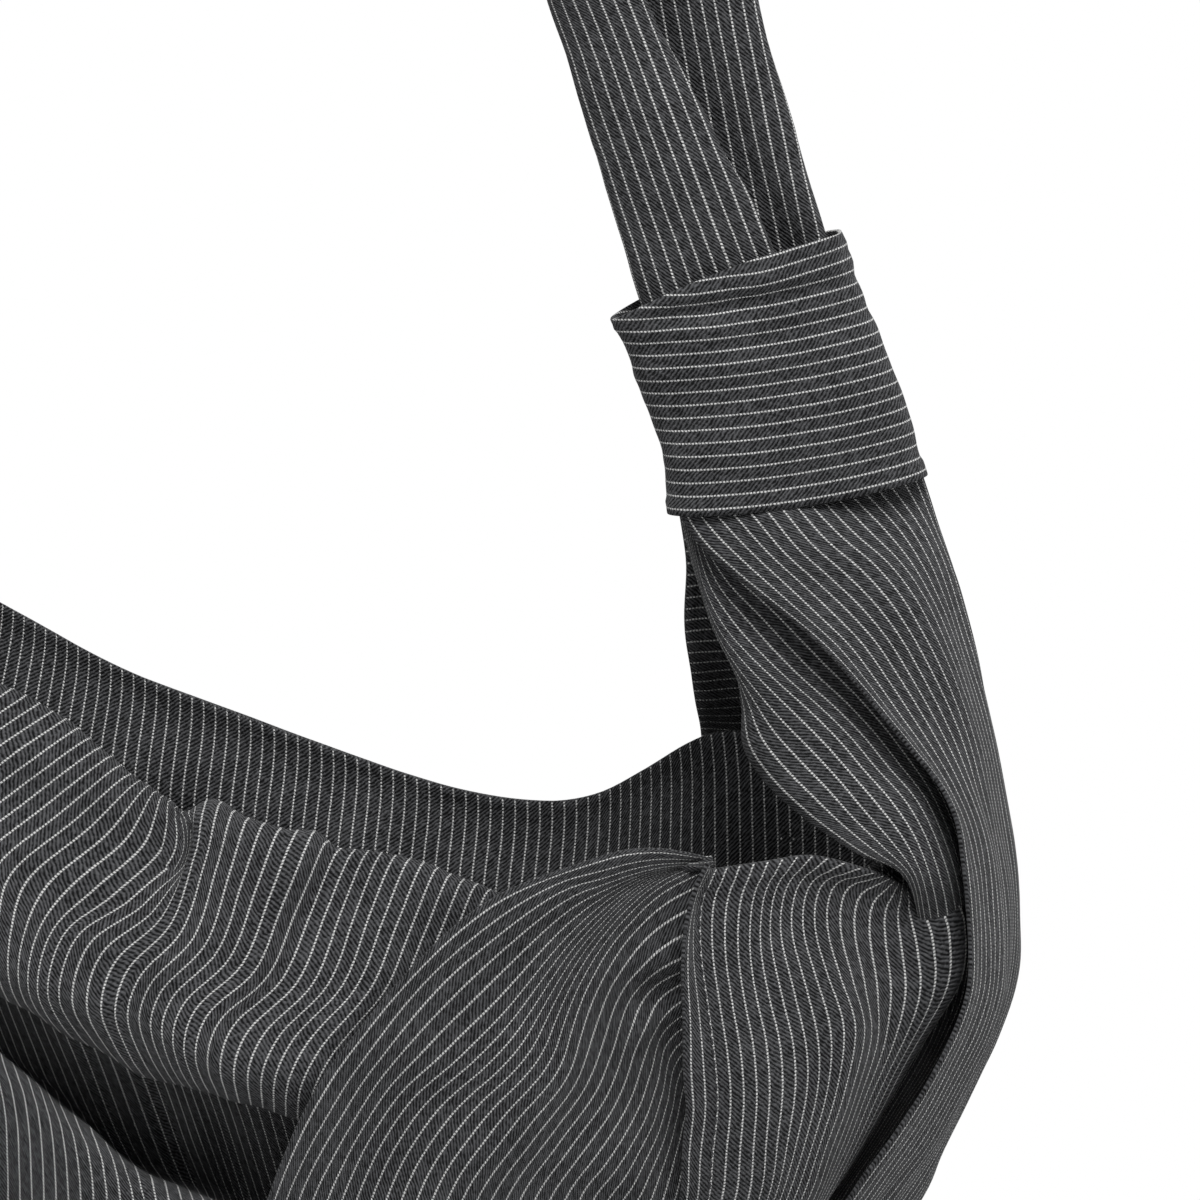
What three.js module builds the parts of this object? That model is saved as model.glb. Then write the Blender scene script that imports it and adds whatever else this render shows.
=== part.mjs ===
// Soft cloth bag that hangs by one wide strap, with each side of its mouth gathered into a cuff on the strap.
// Millimetres, +Z up, front towards -Y. The origin lies under the top of the strap, where it is held.
import * as THREE from 'three';

// Cloth layers
const PANEL_CLOTH = 2;
const OVERLAY_CLOTH = 1.2;
const FACING_CLOTH = 1.2;
const LINING_CLOTH = 0.8;
const STRAP_CLOTH = 1.6;
const KEEPER_CLOTH = 2.2;
const LAYER_GAP = 0.3;
const OVERLAY_GAP = 0.5;
const SEAM_GAP = 0.4;

// Body, with heights measured up from the flat base
const BASE_HALF_WIDTH = 98;
const BASE_HALF_DEPTH = 35;
const BELLY_HALF_WIDTH = 244;
const BELLY_HALF_DEPTH = 70;
const WIDEST_HEIGHT = 172;
const DEEPEST_HEIGHT = 110;
const SIDE_ROUND_RADIUS = 180;
const MOUTH_ROUND_RADIUS = 376;
const LINING_FOOT_GAP = 0.3;

// Mouth: rim height at places across the bag. It slouches on the right.
const FRONT_RIM = [[-151, 250], [-100, 254], [-39, 243], [0, 217], [40, 197], [90, 186], [120, 194],
  [151, 202]];
const BACK_RIM = [[-151, 256], [-100, 259], [-39, 246], [0, 229], [44, 208], [94, 193], [120, 193],
  [151, 206]];
const FACING_HEIGHT = 45;
const NECK_WIDTH = 93;

// Slouch of the front: a soft roll hangs over a valley. The roll's lower edge has a height at
// places across the bag. The depth that the panel moves out goes by the height over that edge.
const SLOUCH_EDGE = [[-130, 188], [-59, 170], [-8, 145], [40, 127], [90, 116]];
const SLOUCH_FORM = [[-95, 0], [-57, 4], [-41, -6], [-19, -21], [-7, -13], [3, 4], [13, 7], [45, 0]];
const SLOUCH_LEFT = [-135, -70];
const SLOUCH_RIGHT = [45, 95];
const SLOUCH_COVER = 8;

// Strap, leaning inwards as it goes up
const STRAP_LEAN = THREE.MathUtils.degToRad(16.7);
const STRAP_HALF_WIDTH = 27.8;
const STRAP_HALF_THICKNESS = 4.5;
const ARCH_RADIUS = 80;
const TWIST_START = 40;
const FOLD_HEIGHT = 405;

// Keeper cuffs
const KEEPER_X = 173.5;
const KEEPER_X_HEIGHT = 319;
const KEEPER_BOTTOM = 285.5;
const KEEPER_TOP = 346;
const KEEPER_BOTTOM_SLANT = 0.14;
const KEEPER_TOP_SLANT = 0.34;
const KEEPER_HALF_WIDTH = 36;
const KEEPER_HALF_DEPTH = 12;
const GATHER_CLEARANCE = 0.5;
const GATHER_LENGTH = 26;
const FOLD_ROUND_END = 0.45 * Math.PI;

// Wrap panel, placket and outer shoulder layer on the right half of the front.
// The wrap's top edge is measured from the placket's edge, the others from the side seam.
const WRAP_TOP = [[-116, 95], [-94, 143], [-66, 174], [-35, 192], [-8, 198], [13, 195]];
const WRAP_FOOT = 45;
const WRAP_TUCK = 12;
const RIM_MARGIN = 1;
const PLACKET_INSET = 92;
const PLACKET_FOOT = 60;
const PLACKET_TOP = 194;
const HEM_WIDTH = 5.5;
const THREAD_WIDTH = 0.8;
const THREAD_HEIGHT = 0.5;
const SHOULDER_FOOT = 60;
const SHOULDER_SWELL = 1.6;
const SHOULDER_TOP_SHARE = 0.15;
const SHOULDER_WIDTH = [[60, 34], [92, 30], [114, 24], [136, 16], [164, 13], [181, 15], [202, 20.5], [250, 49]];

// Facet counts
const PANEL_COLUMNS = 24;
const LOW_ROWS = 7;
const HIGH_ROWS = 2;
const ROW_CROWDING = 1.5;
const FACING_ROWS = 2;
const OVERLAY_COLUMNS = 8;
const OVERLAY_ROWS = 10;
const NECK_COLUMNS = 12;
const NECK_ROWS = 5;
const SHOULDER_COLUMNS = 14;
const RING_POINTS = 12;
const FOLD_ROUND_STEPS = 5;
const LEG_STEPS = 9;
const ARCH_STEPS = 7;

const RIGHT = 1;
const LEFT = -1;
const FRONT = -1;
const BACK = 1;
const { lerp, smoothstep } = THREE.MathUtils;

// Closed meshes

function closedMesh(points, triangles) {
  let volume = 0;
  const [a, b, c] = [new THREE.Vector3(), new THREE.Vector3(), new THREE.Vector3()];
  for (const [i, j, k] of triangles) {
    volume += a.copy(points[i]).dot(b.copy(points[j]).cross(c.copy(points[k])));
  }
  const outward = volume > 0 ? triangles : triangles.map(([i, j, k]) => [i, k, j]);
  const geometry = new THREE.BufferGeometry().setFromPoints(points);
  geometry.setIndex(outward.flat());
  geometry.computeVertexNormals();
  return geometry;
}

function quad(list, a, b, c, d) {
  list.push([a, b, c], [a, c, d]);
}

// The same four corners seen from behind, split along the same diagonal.
function behind([a, b, c, d]) {
  return [a, d, c, b];
}

// A sheet with thickness between two surfaces, each a function of u and v from 0 to 1.
function sheet(columns, rows, outerAt, innerAt) {
  const points = [];
  for (const surface of [outerAt, innerAt]) {
    for (let row = 0; row <= rows; row += 1) {
      for (let column = 0; column <= columns; column += 1) {
        points.push(surface(column / columns, row / rows));
      }
    }
  }
  const stride = columns + 1;
  const inner = stride * (rows + 1);
  const triangles = [];
  for (let row = 0; row < rows; row += 1) {
    for (let column = 0; column < columns; column += 1) {
      const corner = row * stride + column;
      const loop = [corner, corner + 1, corner + stride + 1, corner + stride];
      quad(triangles, ...loop);
      quad(triangles, ...behind(loop.map((index) => index + inner)));
    }
  }
  const border = [];
  for (let column = 0; column < columns; column += 1) border.push(column);
  for (let row = 0; row < rows; row += 1) border.push(row * stride + columns);
  for (let column = columns; column > 0; column -= 1) border.push(rows * stride + column);
  for (let row = rows; row > 0; row -= 1) border.push(row * stride);
  border.forEach((start, place) => {
    const end = border[(place + 1) % border.length];
    quad(triangles, end, start, start + inner, end + inner);
  });
  return closedMesh(points, triangles);
}

// Walls between rings that follow each other. The rings' first point is at the given index.
function wall(triangles, ringCount, ringSize, first, reversed) {
  for (let ring = 0; ring + 1 < ringCount; ring += 1) {
    for (let place = 0; place < ringSize; place += 1) {
      const here = first + ring * ringSize + place;
      const next = first + ring * ringSize + (place + 1) % ringSize;
      const loop = [here, next, next + ringSize, here + ringSize];
      quad(triangles, ...(reversed ? behind(loop) : loop));
    }
  }
}

function solidLoft(rings) {
  const size = rings[0].length;
  const triangles = [];
  wall(triangles, rings.length, size, 0, false);
  const last = (rings.length - 1) * size;
  for (let place = 1; place + 1 < size; place += 1) {
    triangles.push([0, place + 1, place], [last, last + place, last + place + 1]);
  }
  return closedMesh(rings.flat(), triangles);
}

function sleeve(outerRings, innerRings) {
  const size = outerRings[0].length;
  const count = outerRings.length;
  const inner = count * size;
  const triangles = [];
  wall(triangles, count, size, 0, false);
  wall(triangles, count, size, inner, true);
  const last = (count - 1) * size;
  for (let place = 0; place < size; place += 1) {
    const next = (place + 1) % size;
    quad(triangles, next, place, inner + place, inner + next);
    quad(triangles, last + place, last + next, inner + last + next, inner + last + place);
  }
  return closedMesh([...outerRings.flat(), ...innerRings.flat()], triangles);
}

// Smooth height over a list of places, level beyond its ends.
function curveThrough(places) {
  const slope = (index) => {
    const before = places[Math.max(index - 1, 0)];
    const after = places[Math.min(index + 1, places.length - 1)];
    return (after[1] - before[1]) / (after[0] - before[0]);
  };
  return (value) => {
    if (value <= places[0][0]) return places[0][1];
    const end = places.findIndex((place) => place[0] >= value);
    if (end < 0) return places[places.length - 1][1];
    const [x0, y0] = places[end - 1];
    const [x1, y1] = places[end];
    const span = x1 - x0;
    const t = (value - x0) / span;
    const rise = y1 - y0;
    const bendStart = slope(end - 1) * span - rise;
    const bendEnd = rise - slope(end) * span;
    return lerp(y0, y1, t) + t * (1 - t) * (bendStart * (1 - t) + bendEnd * t);
  };
}

const frontRim = curveThrough(FRONT_RIM);
const backRim = curveThrough(BACK_RIM);
const wrapTop = curveThrough(WRAP_TOP);
const shoulderWidth = curveThrough(SHOULDER_WIDTH);
const slouchEdge = curveThrough(SLOUCH_EDGE);
const slouchForm = curveThrough(SLOUCH_FORM);
const rimOf = (facing) => (facing === FRONT ? frontRim : backRim);

// Body surface

function swell(base, belly, height, bellyHeight, roundRadius) {
  if (height >= bellyHeight) return belly - (height - bellyHeight) ** 2 / (2 * roundRadius);
  return base + (belly - base) * Math.sqrt(1 - (1 - height / bellyHeight) ** 2);
}

function halfWidth(height) {
  return swell(BASE_HALF_WIDTH, BELLY_HALF_WIDTH, height, WIDEST_HEIGHT, SIDE_ROUND_RADIUS);
}

function halfDepth(height) {
  return swell(BASE_HALF_DEPTH, BELLY_HALF_DEPTH, height, DEEPEST_HEIGHT, MOUTH_ROUND_RADIUS);
}

const placeAcross = (angle) => BELLY_HALF_WIDTH * Math.sin(angle);

// How much of the slouch a place across the front takes.
function slouchShare(x) {
  return smoothstep(x, ...SLOUCH_LEFT) * (1 - smoothstep(x, ...SLOUCH_RIGHT));
}

function slouch(angle, height) {
  const x = placeAcross(angle);
  return slouchShare(x) * slouchForm(height - slouchEdge(x));
}

// What lies over the slouch clears its roll and spans its valley.
const slouchCover = (angle) => SLOUCH_COVER * slouchShare(placeAcross(angle));

// Point of the body at an angle round from the middle of the front or back, moved out by an offset.
function bodyPoint(facing, angle, height, offset, relief = slouch) {
  const x = (halfWidth(height) + offset) * Math.sin(angle);
  const moved = facing === FRONT ? relief(angle, height) : 0;
  const y = (halfDepth(height) + offset) * Math.cos(angle) + SEAM_GAP / 2 + moved;
  return new THREE.Vector3(x, facing * y, height);
}

function angleAt(x, height) {
  return Math.asin(x / halfWidth(height));
}

const neckInnerX = BELLY_HALF_WIDTH - NECK_WIDTH;
const placketEdge = BELLY_HALF_WIDTH - PLACKET_INSET;
const shoulderEdge = (height) => halfWidth(height) - shoulderWidth(height);

const panelAngle = (u) => lerp(-Math.PI / 2, Math.PI / 2, u);
const rimHeight = (facing, angle) => rimOf(facing)(placeAcross(angle));
const facingFoot = (facing, angle) => rimHeight(facing, angle) - FACING_HEIGHT;
const baseLiningTop = PANEL_CLOTH + LAYER_GAP + LINING_CLOTH;
const liningFoot = baseLiningTop + LINING_FOOT_GAP;

// Heights of a panel's rows, shared by the layers behind it so that they lie parallel.
// Some follow the places of the slouch's form.
const slouchRows = SLOUCH_FORM.slice(1, -1).map(([rise]) => rise);
const liningRows = LOW_ROWS + slouchRows.length - 1 + HIGH_ROWS;

function liningRow(facing, angle, row) {
  const edge = slouchEdge(placeAcross(angle));
  if (row <= LOW_ROWS) return lerp(liningFoot, edge + slouchRows[0], (row / LOW_ROWS) ** ROW_CROWDING);
  const station = row - LOW_ROWS;
  if (station < slouchRows.length) return edge + slouchRows[station];
  const lift = (station - slouchRows.length + 1) / HIGH_ROWS;
  return lerp(edge + slouchRows[slouchRows.length - 1], facingFoot(facing, angle), lift);
}

function panelRow(facing, angle, row) {
  if (row === 0) return 0;
  if (row <= liningRows + 1) return liningRow(facing, angle, row - 1);
  const lift = (row - liningRows - 1) / FACING_ROWS;
  return lerp(facingFoot(facing, angle), rimHeight(facing, angle), lift);
}

function bodyLayer(facing, rows, heightAt, outerOffset, cloth) {
  const surface = (offset) => (u, v) => {
    const angle = panelAngle(u);
    return bodyPoint(facing, angle, heightAt(angle, Math.round(v * rows)), offset);
  };
  return sheet(PANEL_COLUMNS, rows, surface(outerOffset), surface(outerOffset - cloth));
}

function panel(facing) {
  const rows = liningRows + FACING_ROWS + 1;
  return bodyLayer(facing, rows, (angle, row) => panelRow(facing, angle, row), 0, PANEL_CLOTH);
}

const insideOffset = -PANEL_CLOTH - LAYER_GAP;

function lining(facing) {
  const heightAt = (angle, row) => liningRow(facing, angle, row) - (row === liningRows ? LAYER_GAP : 0);
  return bodyLayer(facing, liningRows, heightAt, insideOffset, LINING_CLOTH);
}

function rimFacing(facing) {
  const heightAt = (angle, row) => panelRow(facing, angle, liningRows + 1 + row);
  return bodyLayer(facing, FACING_ROWS, heightAt, insideOffset, FACING_CLOTH);
}

// Oval plate whose corners line up with the columns of the panels around it.
function basePlate(bottom, top, wide, deep) {
  const ring = (height) => {
    const points = [];
    for (const facing of [FRONT, BACK]) {
      for (let column = 0; column <= PANEL_COLUMNS; column += 1) {
        const angle = panelAngle(column / PANEL_COLUMNS) * facing * -1;
        const y = deep * Math.cos(angle) + SEAM_GAP / 2;
        points.push(new THREE.Vector3(wide * Math.sin(angle), facing * y, height));
      }
    }
    return points;
  };
  return solidLoft([ring(bottom), ring(top)]);
}

function basePanel() {
  const inset = PANEL_CLOTH + LAYER_GAP;
  return basePlate(0, PANEL_CLOTH, BASE_HALF_WIDTH - inset, BASE_HALF_DEPTH - inset);
}

function baseLining() {
  const bottom = PANEL_CLOTH + LAYER_GAP;
  const share = bottom / liningFoot;
  const inset = PANEL_CLOTH + LAYER_GAP;
  const wide = lerp(BASE_HALF_WIDTH, halfWidth(liningFoot), share) - inset;
  const deep = lerp(BASE_HALF_DEPTH, halfDepth(liningFoot), share) - inset;
  return basePlate(bottom, baseLiningTop, wide, deep);
}

// Strap legs and keepers: sections are level, and slide along the lean.

const leanSlope = Math.tan(STRAP_LEAN);
const legX = (height) => KEEPER_X + (KEEPER_X_HEIGHT - height) * leanSlope;

// Rounded flat section at a height of the right leg, tilted by a slant across its width.
function legRing(height, slant, wide, thick) {
  return sectionPlaces(wide, thick).map(([across, through]) => {
    const z = height + slant * across;
    return new THREE.Vector3(legX(z) + across, through, z);
  });
}

function sectionPlaces(wide, thick) {
  const flattened = (value) => Math.sign(value) * Math.sqrt(Math.abs(value));
  return Array.from({ length: RING_POINTS }, (_, place) => {
    const angle = (place / RING_POINTS) * 2 * Math.PI;
    return [wide * flattened(Math.cos(angle)), thick * flattened(Math.sin(angle))];
  });
}

const boreHalfWidth = KEEPER_HALF_WIDTH - KEEPER_CLOTH;
const boreHalfDepth = KEEPER_HALF_DEPTH - KEEPER_CLOTH;
const gatherHalfWidth = boreHalfWidth - GATHER_CLEARANCE;
const gatherHalfDepth = boreHalfDepth - GATHER_CLEARANCE;

function keeper() {
  const rings = (wide, deep) => [
    legRing(KEEPER_BOTTOM, KEEPER_BOTTOM_SLANT, wide, deep),
    legRing(KEEPER_TOP, KEEPER_TOP_SLANT, wide, deep),
  ];
  return sleeve(rings(KEEPER_HALF_WIDTH, KEEPER_HALF_DEPTH), rings(boreHalfWidth, boreHalfDepth));
}

// Lower end of the strap: gathered with the neck inside the cuff, rounded at the top where the strap folds.
function strapTail() {
  const foot = KEEPER_BOTTOM + LAYER_GAP;
  const rings = [
    legRing(foot, KEEPER_BOTTOM_SLANT, gatherHalfWidth, gatherHalfDepth),
    legRing(foot + GATHER_LENGTH / 2, KEEPER_BOTTOM_SLANT, gatherHalfWidth, gatherHalfDepth),
    legRing(foot + GATHER_LENGTH, KEEPER_BOTTOM_SLANT, STRAP_HALF_WIDTH, STRAP_HALF_THICKNESS),
  ];
  for (let step = 0; step <= FOLD_ROUND_STEPS; step += 1) {
    const turn = (step / FOLD_ROUND_STEPS) * FOLD_ROUND_END;
    const height = FOLD_HEIGHT + STRAP_HALF_THICKNESS * Math.sin(turn);
    rings.push(legRing(height, 0, STRAP_HALF_WIDTH, STRAP_HALF_THICKNESS * Math.cos(turn)));
  }
  return solidLoft(rings);
}

// Arch of the strap: stations from the right fold over the top to the left one.

const strapFoot = FOLD_HEIGHT + STRAP_HALF_THICKNESS + LAYER_GAP;
const archFootX = ARCH_RADIUS * Math.cos(STRAP_LEAN);
const archFootHeight = KEEPER_X_HEIGHT + (KEEPER_X - archFootX) / leanSlope;
const archCentreHeight = archFootHeight - ARCH_RADIUS * Math.sin(STRAP_LEAN);
const hangHeight = archCentreHeight + ARCH_RADIUS - STRAP_HALF_THICKNESS;

// Station of the right half: its centre, the direction across the face and how far the strap has turned.
function legStation(step) {
  const height = lerp(strapFoot, archFootHeight, step / LEG_STEPS);
  const along = (height - strapFoot) / Math.cos(STRAP_LEAN);
  const legLength = (archFootHeight - strapFoot) / Math.cos(STRAP_LEAN);
  const level = smoothstep(along, 0, TWIST_START);
  const tilt = STRAP_LEAN * level;
  return {
    centre: new THREE.Vector3(legX(height), 0, height),
    outward: new THREE.Vector3(Math.cos(tilt), 0, Math.sin(tilt)),
    turn: (Math.PI / 2) * smoothstep(along, TWIST_START, legLength),
  };
}

function archStation(step) {
  const angle = lerp(STRAP_LEAN, Math.PI / 2, step / ARCH_STEPS);
  const outward = new THREE.Vector3(Math.cos(angle), 0, Math.sin(angle));
  const centre = outward.clone().multiplyScalar(ARCH_RADIUS);
  centre.z += archCentreHeight;
  return { centre, outward, turn: Math.PI / 2 };
}

function rightStations() {
  const stations = [];
  for (let step = 0; step < LEG_STEPS; step += 1) stations.push(legStation(step));
  for (let step = 0; step <= ARCH_STEPS; step += 1) stations.push(archStation(step));
  return stations;
}

function strapRings(wide, thick) {
  const places = sectionPlaces(wide, thick);
  const depth = new THREE.Vector3(0, 1, 0);
  const right = rightStations().map(({ centre, outward, turn }) => {
    const across = outward.clone().multiplyScalar(Math.cos(turn)).addScaledVector(depth, Math.sin(turn));
    const through = depth.clone().multiplyScalar(Math.cos(turn)).addScaledVector(outward, -Math.sin(turn));
    return places.map(([w, t]) => centre.clone().addScaledVector(across, w).addScaledVector(through, t));
  });
  const turnedOver = (point) => new THREE.Vector3(-point.x, point.y, point.z);
  const left = right.slice(0, -1).reverse().map((ring) => ring.map(turnedOver));
  return [...right, ...left];
}

function strapBand() {
  const outer = strapRings(STRAP_HALF_WIDTH, STRAP_HALF_THICKNESS);
  const inner = strapRings(STRAP_HALF_WIDTH - STRAP_CLOTH, STRAP_HALF_THICKNESS - STRAP_CLOTH);
  return sleeve(outer, inner);
}

function strapInterlining() {
  const inset = STRAP_CLOTH + LAYER_GAP;
  return solidLoft(strapRings(STRAP_HALF_WIDTH - inset, STRAP_HALF_THICKNESS - inset));
}

// Gathered neck from the panel's top edge to the cuff, built on the right with the side's own rim.

const neckSeat = (side, facing) => rimOf(facing)(side * neckInnerX);
const neckInnerAngle = (seat) => angleAt(neckInnerX, seat);

function neckPoint(side, facing, q, s, offset) {
  const seat = neckSeat(side, facing) + LAYER_GAP;
  const low = bodyPoint(facing, lerp(neckInnerAngle(seat), Math.PI / 2, q), seat, offset);
  const turn = lerp(-Math.PI / 2, Math.PI / 2, q);
  const across = (gatherHalfWidth + offset) * Math.sin(turn);
  const height = KEEPER_BOTTOM + KEEPER_BOTTOM_SLANT * across - LAYER_GAP;
  const depth = (gatherHalfDepth + offset) * Math.cos(turn) + SEAM_GAP / 2;
  const high = new THREE.Vector3(legX(height) + across, facing * depth, height);
  return low.lerp(high, s);
}

function neckLayer(side, facing) {
  const surface = (offset) => (u, v) => neckPoint(side, facing, u, v, offset);
  return sheet(NECK_COLUMNS, NECK_ROWS, surface(0), surface(-PANEL_CLOTH));
}

// Outer shoulder layer: a strip up the side of the front that widens over the whole neck.
function shoulder(side) {
  const seat = neckSeat(side, FRONT) + LAYER_GAP;
  const rows = OVERLAY_ROWS + NECK_ROWS;
  const innerAngle = neckInnerAngle(seat);
  const edgeShare = (angleAt(shoulderEdge(seat), seat) - innerAngle) / (Math.PI / 2 - innerAngle);
  const surface = (offset) => (u, v) => {
    const row = Math.round(v * rows);
    if (row <= OVERLAY_ROWS) {
      const height = lerp(SHOULDER_FOOT, seat, row / OVERLAY_ROWS);
      const angle = lerp(angleAt(shoulderEdge(height), height), Math.PI / 2, u);
      return bodyPoint(FRONT, angle, height, offset);
    }
    const rise = (row - OVERLAY_ROWS) / NECK_ROWS;
    const swollen = offset + SHOULDER_SWELL * Math.sin(Math.PI * rise);
    return neckPoint(side, FRONT, lerp(lerp(edgeShare, SHOULDER_TOP_SHARE, rise), 1, u), rise, swollen);
  };
  return sheet(SHOULDER_COLUMNS, rows, surface(OVERLAY_GAP + OVERLAY_CLOTH), surface(OVERLAY_GAP));
}

// Layers on the right half of the front, lying on the panel at a lift above it.
function overlay(side, columns, placeAt, lift, cloth) {
  const cover = (angle) => slouchCover(side * angle);
  const surface = (offset) => (u, v) => {
    const [x, height] = placeAt(u, v);
    return bodyPoint(FRONT, angleAt(x, height), height, offset, cover);
  };
  return sheet(columns, OVERLAY_ROWS, surface(lift + cloth), surface(lift));
}

const placketLift = 2 * OVERLAY_GAP + OVERLAY_CLOTH;
const stitchLift = placketLift + OVERLAY_CLOTH + LAYER_GAP;

function wrapPanel(side) {
  const placeAt = (u, v) => {
    const fromPlacket = lerp(WRAP_TOP[0][0], WRAP_TUCK, u);
    const x = placketEdge + fromPlacket;
    const top = Math.min(wrapTop(fromPlacket), frontRim(side * x) - RIM_MARGIN);
    return [x, lerp(WRAP_FOOT, top, v)];
  };
  return overlay(side, OVERLAY_COLUMNS, placeAt, OVERLAY_GAP, OVERLAY_CLOTH);
}

function placket(side) {
  const placeAt = (u, v) => {
    const height = lerp(PLACKET_FOOT, PLACKET_TOP, v);
    return [lerp(placketEdge, shoulderEdge(height) - OVERLAY_GAP - OVERLAY_CLOTH, u), height];
  };
  return overlay(side, OVERLAY_COLUMNS, placeAt, placketLift, OVERLAY_CLOTH);
}

function placketStitching(side) {
  const placeAt = (u, v) => [
    placketEdge + HEM_WIDTH + (u - 0.5) * THREAD_WIDTH,
    lerp(PLACKET_FOOT + HEM_WIDTH, PLACKET_TOP - HEM_WIDTH, v),
  ];
  return overlay(side, 1, placeAt, stitchLift, THREAD_HEIGHT);
}

// Pieces built on the right are turned over for the left.
function onSide(side, geometry) {
  if (side === RIGHT) return geometry;
  const position = geometry.getAttribute('position');
  const points = Array.from({ length: position.count }, (_, index) => (
    new THREE.Vector3().fromBufferAttribute(position, index).multiply(new THREE.Vector3(-1, 1, 1))
  ));
  const corners = [...geometry.getIndex().array];
  const triangles = [];
  for (let start = 0; start < corners.length; start += 3) triangles.push(corners.slice(start, start + 3));
  return closedMesh(points, triangles);
}

const SUITING = { color: 0x35363a, roughness: 0.9, metalness: 0 };
const LINING = { color: 0x2a2b2e, roughness: 0.75, metalness: 0 };
const STIFFENER = { color: 0xc9c6bf, roughness: 0.95, metalness: 0 };
const THREAD = { color: 0x1d1e20, roughness: 0.7, metalness: 0 };

const bag = new THREE.Group();
bag.position.z = -hangHeight;

function add(name, geometry, finish) {
  const mesh = new THREE.Mesh(geometry, new THREE.MeshStandardMaterial(finish));
  mesh.name = name;
  bag.add(mesh);
}

add('strap_band', strapBand(), SUITING);
add('strap_interlining', strapInterlining(), STIFFENER);
add('base_panel', basePanel(), SUITING);
add('base_lining', baseLining(), LINING);
for (const [word, facing] of [['front', FRONT], ['back', BACK]]) {
  add(`${word}_panel`, panel(facing), SUITING);
  add(`${word}_lining`, lining(facing), LINING);
  add(`${word}_rim_facing`, rimFacing(facing), SUITING);
}
for (const [word, side] of [['right', RIGHT], ['left', LEFT]]) {
  add(`strap_tail_${word}`, onSide(side, strapTail()), SUITING);
  add(`keeper_${word}`, onSide(side, keeper()), SUITING);
  add(`${word}_shoulder`, onSide(side, shoulder(side)), SUITING);
  add(`${word}_shoulder_fold`, onSide(side, neckLayer(side, FRONT)), SUITING);
  add(`${word}_neck_back`, onSide(side, neckLayer(side, BACK)), SUITING);
  add(`${word}_wrap_panel`, onSide(side, wrapPanel(side)), SUITING);
  add(`${word}_placket`, onSide(side, placket(side)), SUITING);
  add(`${word}_placket_stitching`, onSide(side, placketStitching(side)), THREAD);
}

export default bag;
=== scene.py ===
import math

import bmesh
import bpy
import numpy as np
from mathutils import Matrix, Vector, noise


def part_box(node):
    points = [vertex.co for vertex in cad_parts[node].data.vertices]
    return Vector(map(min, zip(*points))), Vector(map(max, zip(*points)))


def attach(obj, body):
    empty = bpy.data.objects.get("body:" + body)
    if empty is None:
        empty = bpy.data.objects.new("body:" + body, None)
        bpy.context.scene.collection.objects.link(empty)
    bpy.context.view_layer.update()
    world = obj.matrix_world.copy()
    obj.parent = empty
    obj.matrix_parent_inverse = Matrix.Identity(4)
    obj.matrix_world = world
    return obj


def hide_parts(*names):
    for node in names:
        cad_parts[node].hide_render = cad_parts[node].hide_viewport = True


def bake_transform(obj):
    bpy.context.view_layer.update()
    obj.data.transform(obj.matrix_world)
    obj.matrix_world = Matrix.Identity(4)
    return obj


bl_info = {
    "name": "Knot bag cloth",
    "version": (1, 0, 0),
    "blender": (4, 5, 0),
    "location": "3D Viewport > Sidebar > Knot bag",
    "description": "Dresses the packed cloth bag with draped pinstripe panels",
    "category": "Add Mesh",
}

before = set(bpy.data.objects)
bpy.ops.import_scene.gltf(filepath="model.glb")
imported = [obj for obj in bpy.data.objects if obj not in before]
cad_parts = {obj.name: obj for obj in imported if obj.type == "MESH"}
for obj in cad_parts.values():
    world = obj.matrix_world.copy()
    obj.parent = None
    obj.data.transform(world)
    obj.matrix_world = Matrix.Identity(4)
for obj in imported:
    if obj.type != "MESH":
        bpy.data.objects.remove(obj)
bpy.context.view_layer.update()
BASE_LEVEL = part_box("base_panel")[0][2]

MM = 0.001
IMAGE_SIZE = 1200
SENSOR_WIDTH = 36.0
SHORTEST = 1e-12

# Body form in millimetres, with heights measured up from the base
BASE_HALF_WIDTH = 98
BASE_HALF_DEPTH = 35
BELLY_HALF_WIDTH = 244
BELLY_HALF_DEPTH = 70
WIDEST_HEIGHT = 172
DEEPEST_HEIGHT = 110
SIDE_ROUND_RADIUS = 180
MOUTH_ROUND_RADIUS = 376
SIDE_TRIM = ((0, 0), (56, 10), (90, 9), (103, 9), (117, 8), (129, 6), (139, 4), (155, 2), (260, 2))
BACK_RIM = (
    (-240, 252), (-151, 262), (-100, 262), (-60, 252.5), (-45, 245), (-16, 229), (13, 217), (41.5, 206),
    (70, 196), (93, 190), (113, 188.6), (128, 191.5), (142, 199), (157, 208), (168, 212),
    (200, 213), (240, 212),
)
PANEL_FOOT = 0
# Columns of the back for each cell of its half width
BACK_COLUMNS = 2.3
# Depth over which the back rim leans out, and how far it goes
LEAN_DEPTH = 34
RIM_LEAN = (3, 14, -2.2)
# Turn of the front rim over backwards, in the middle and at the seams, and the depth from which it is full
RIM_TURN = np.array((7, 3.5, 9))
SEAM_TURN = np.array((0, -4, 0))
RIM_TURN_FULL = 40

# Strap and cuffs in millimetres
STRAP_LEAN = math.radians(16.7)
STRAP_HALF_WIDTH = 28.4
STRAP_FOOT = 324
STRAP_STEP = 4
SECTION_POINTS = 72
ARCH_RADIUS = 80
TWIST_START = 40
BAND_GAP = 4.8
FOLD_HEIGHT = 405
# Place of the lengthwise fold across the strap, and how deep it tucks in, at heights
FOLD_PLACES = ((300, 357, 422, 520), (17, 12.5, -2, -10))
TUCK_DEPTHS = ((340, 440), (17, 4))
KEEPER_X = 173.5
KEEPER_X_HEIGHT = 319
KEEPER_HALF_DEPTH = 12.5
KEEPER_ROWS = 40
KEEPER_COLUMNS = 96
KEEPER_SQUARENESS = 0.62
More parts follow.
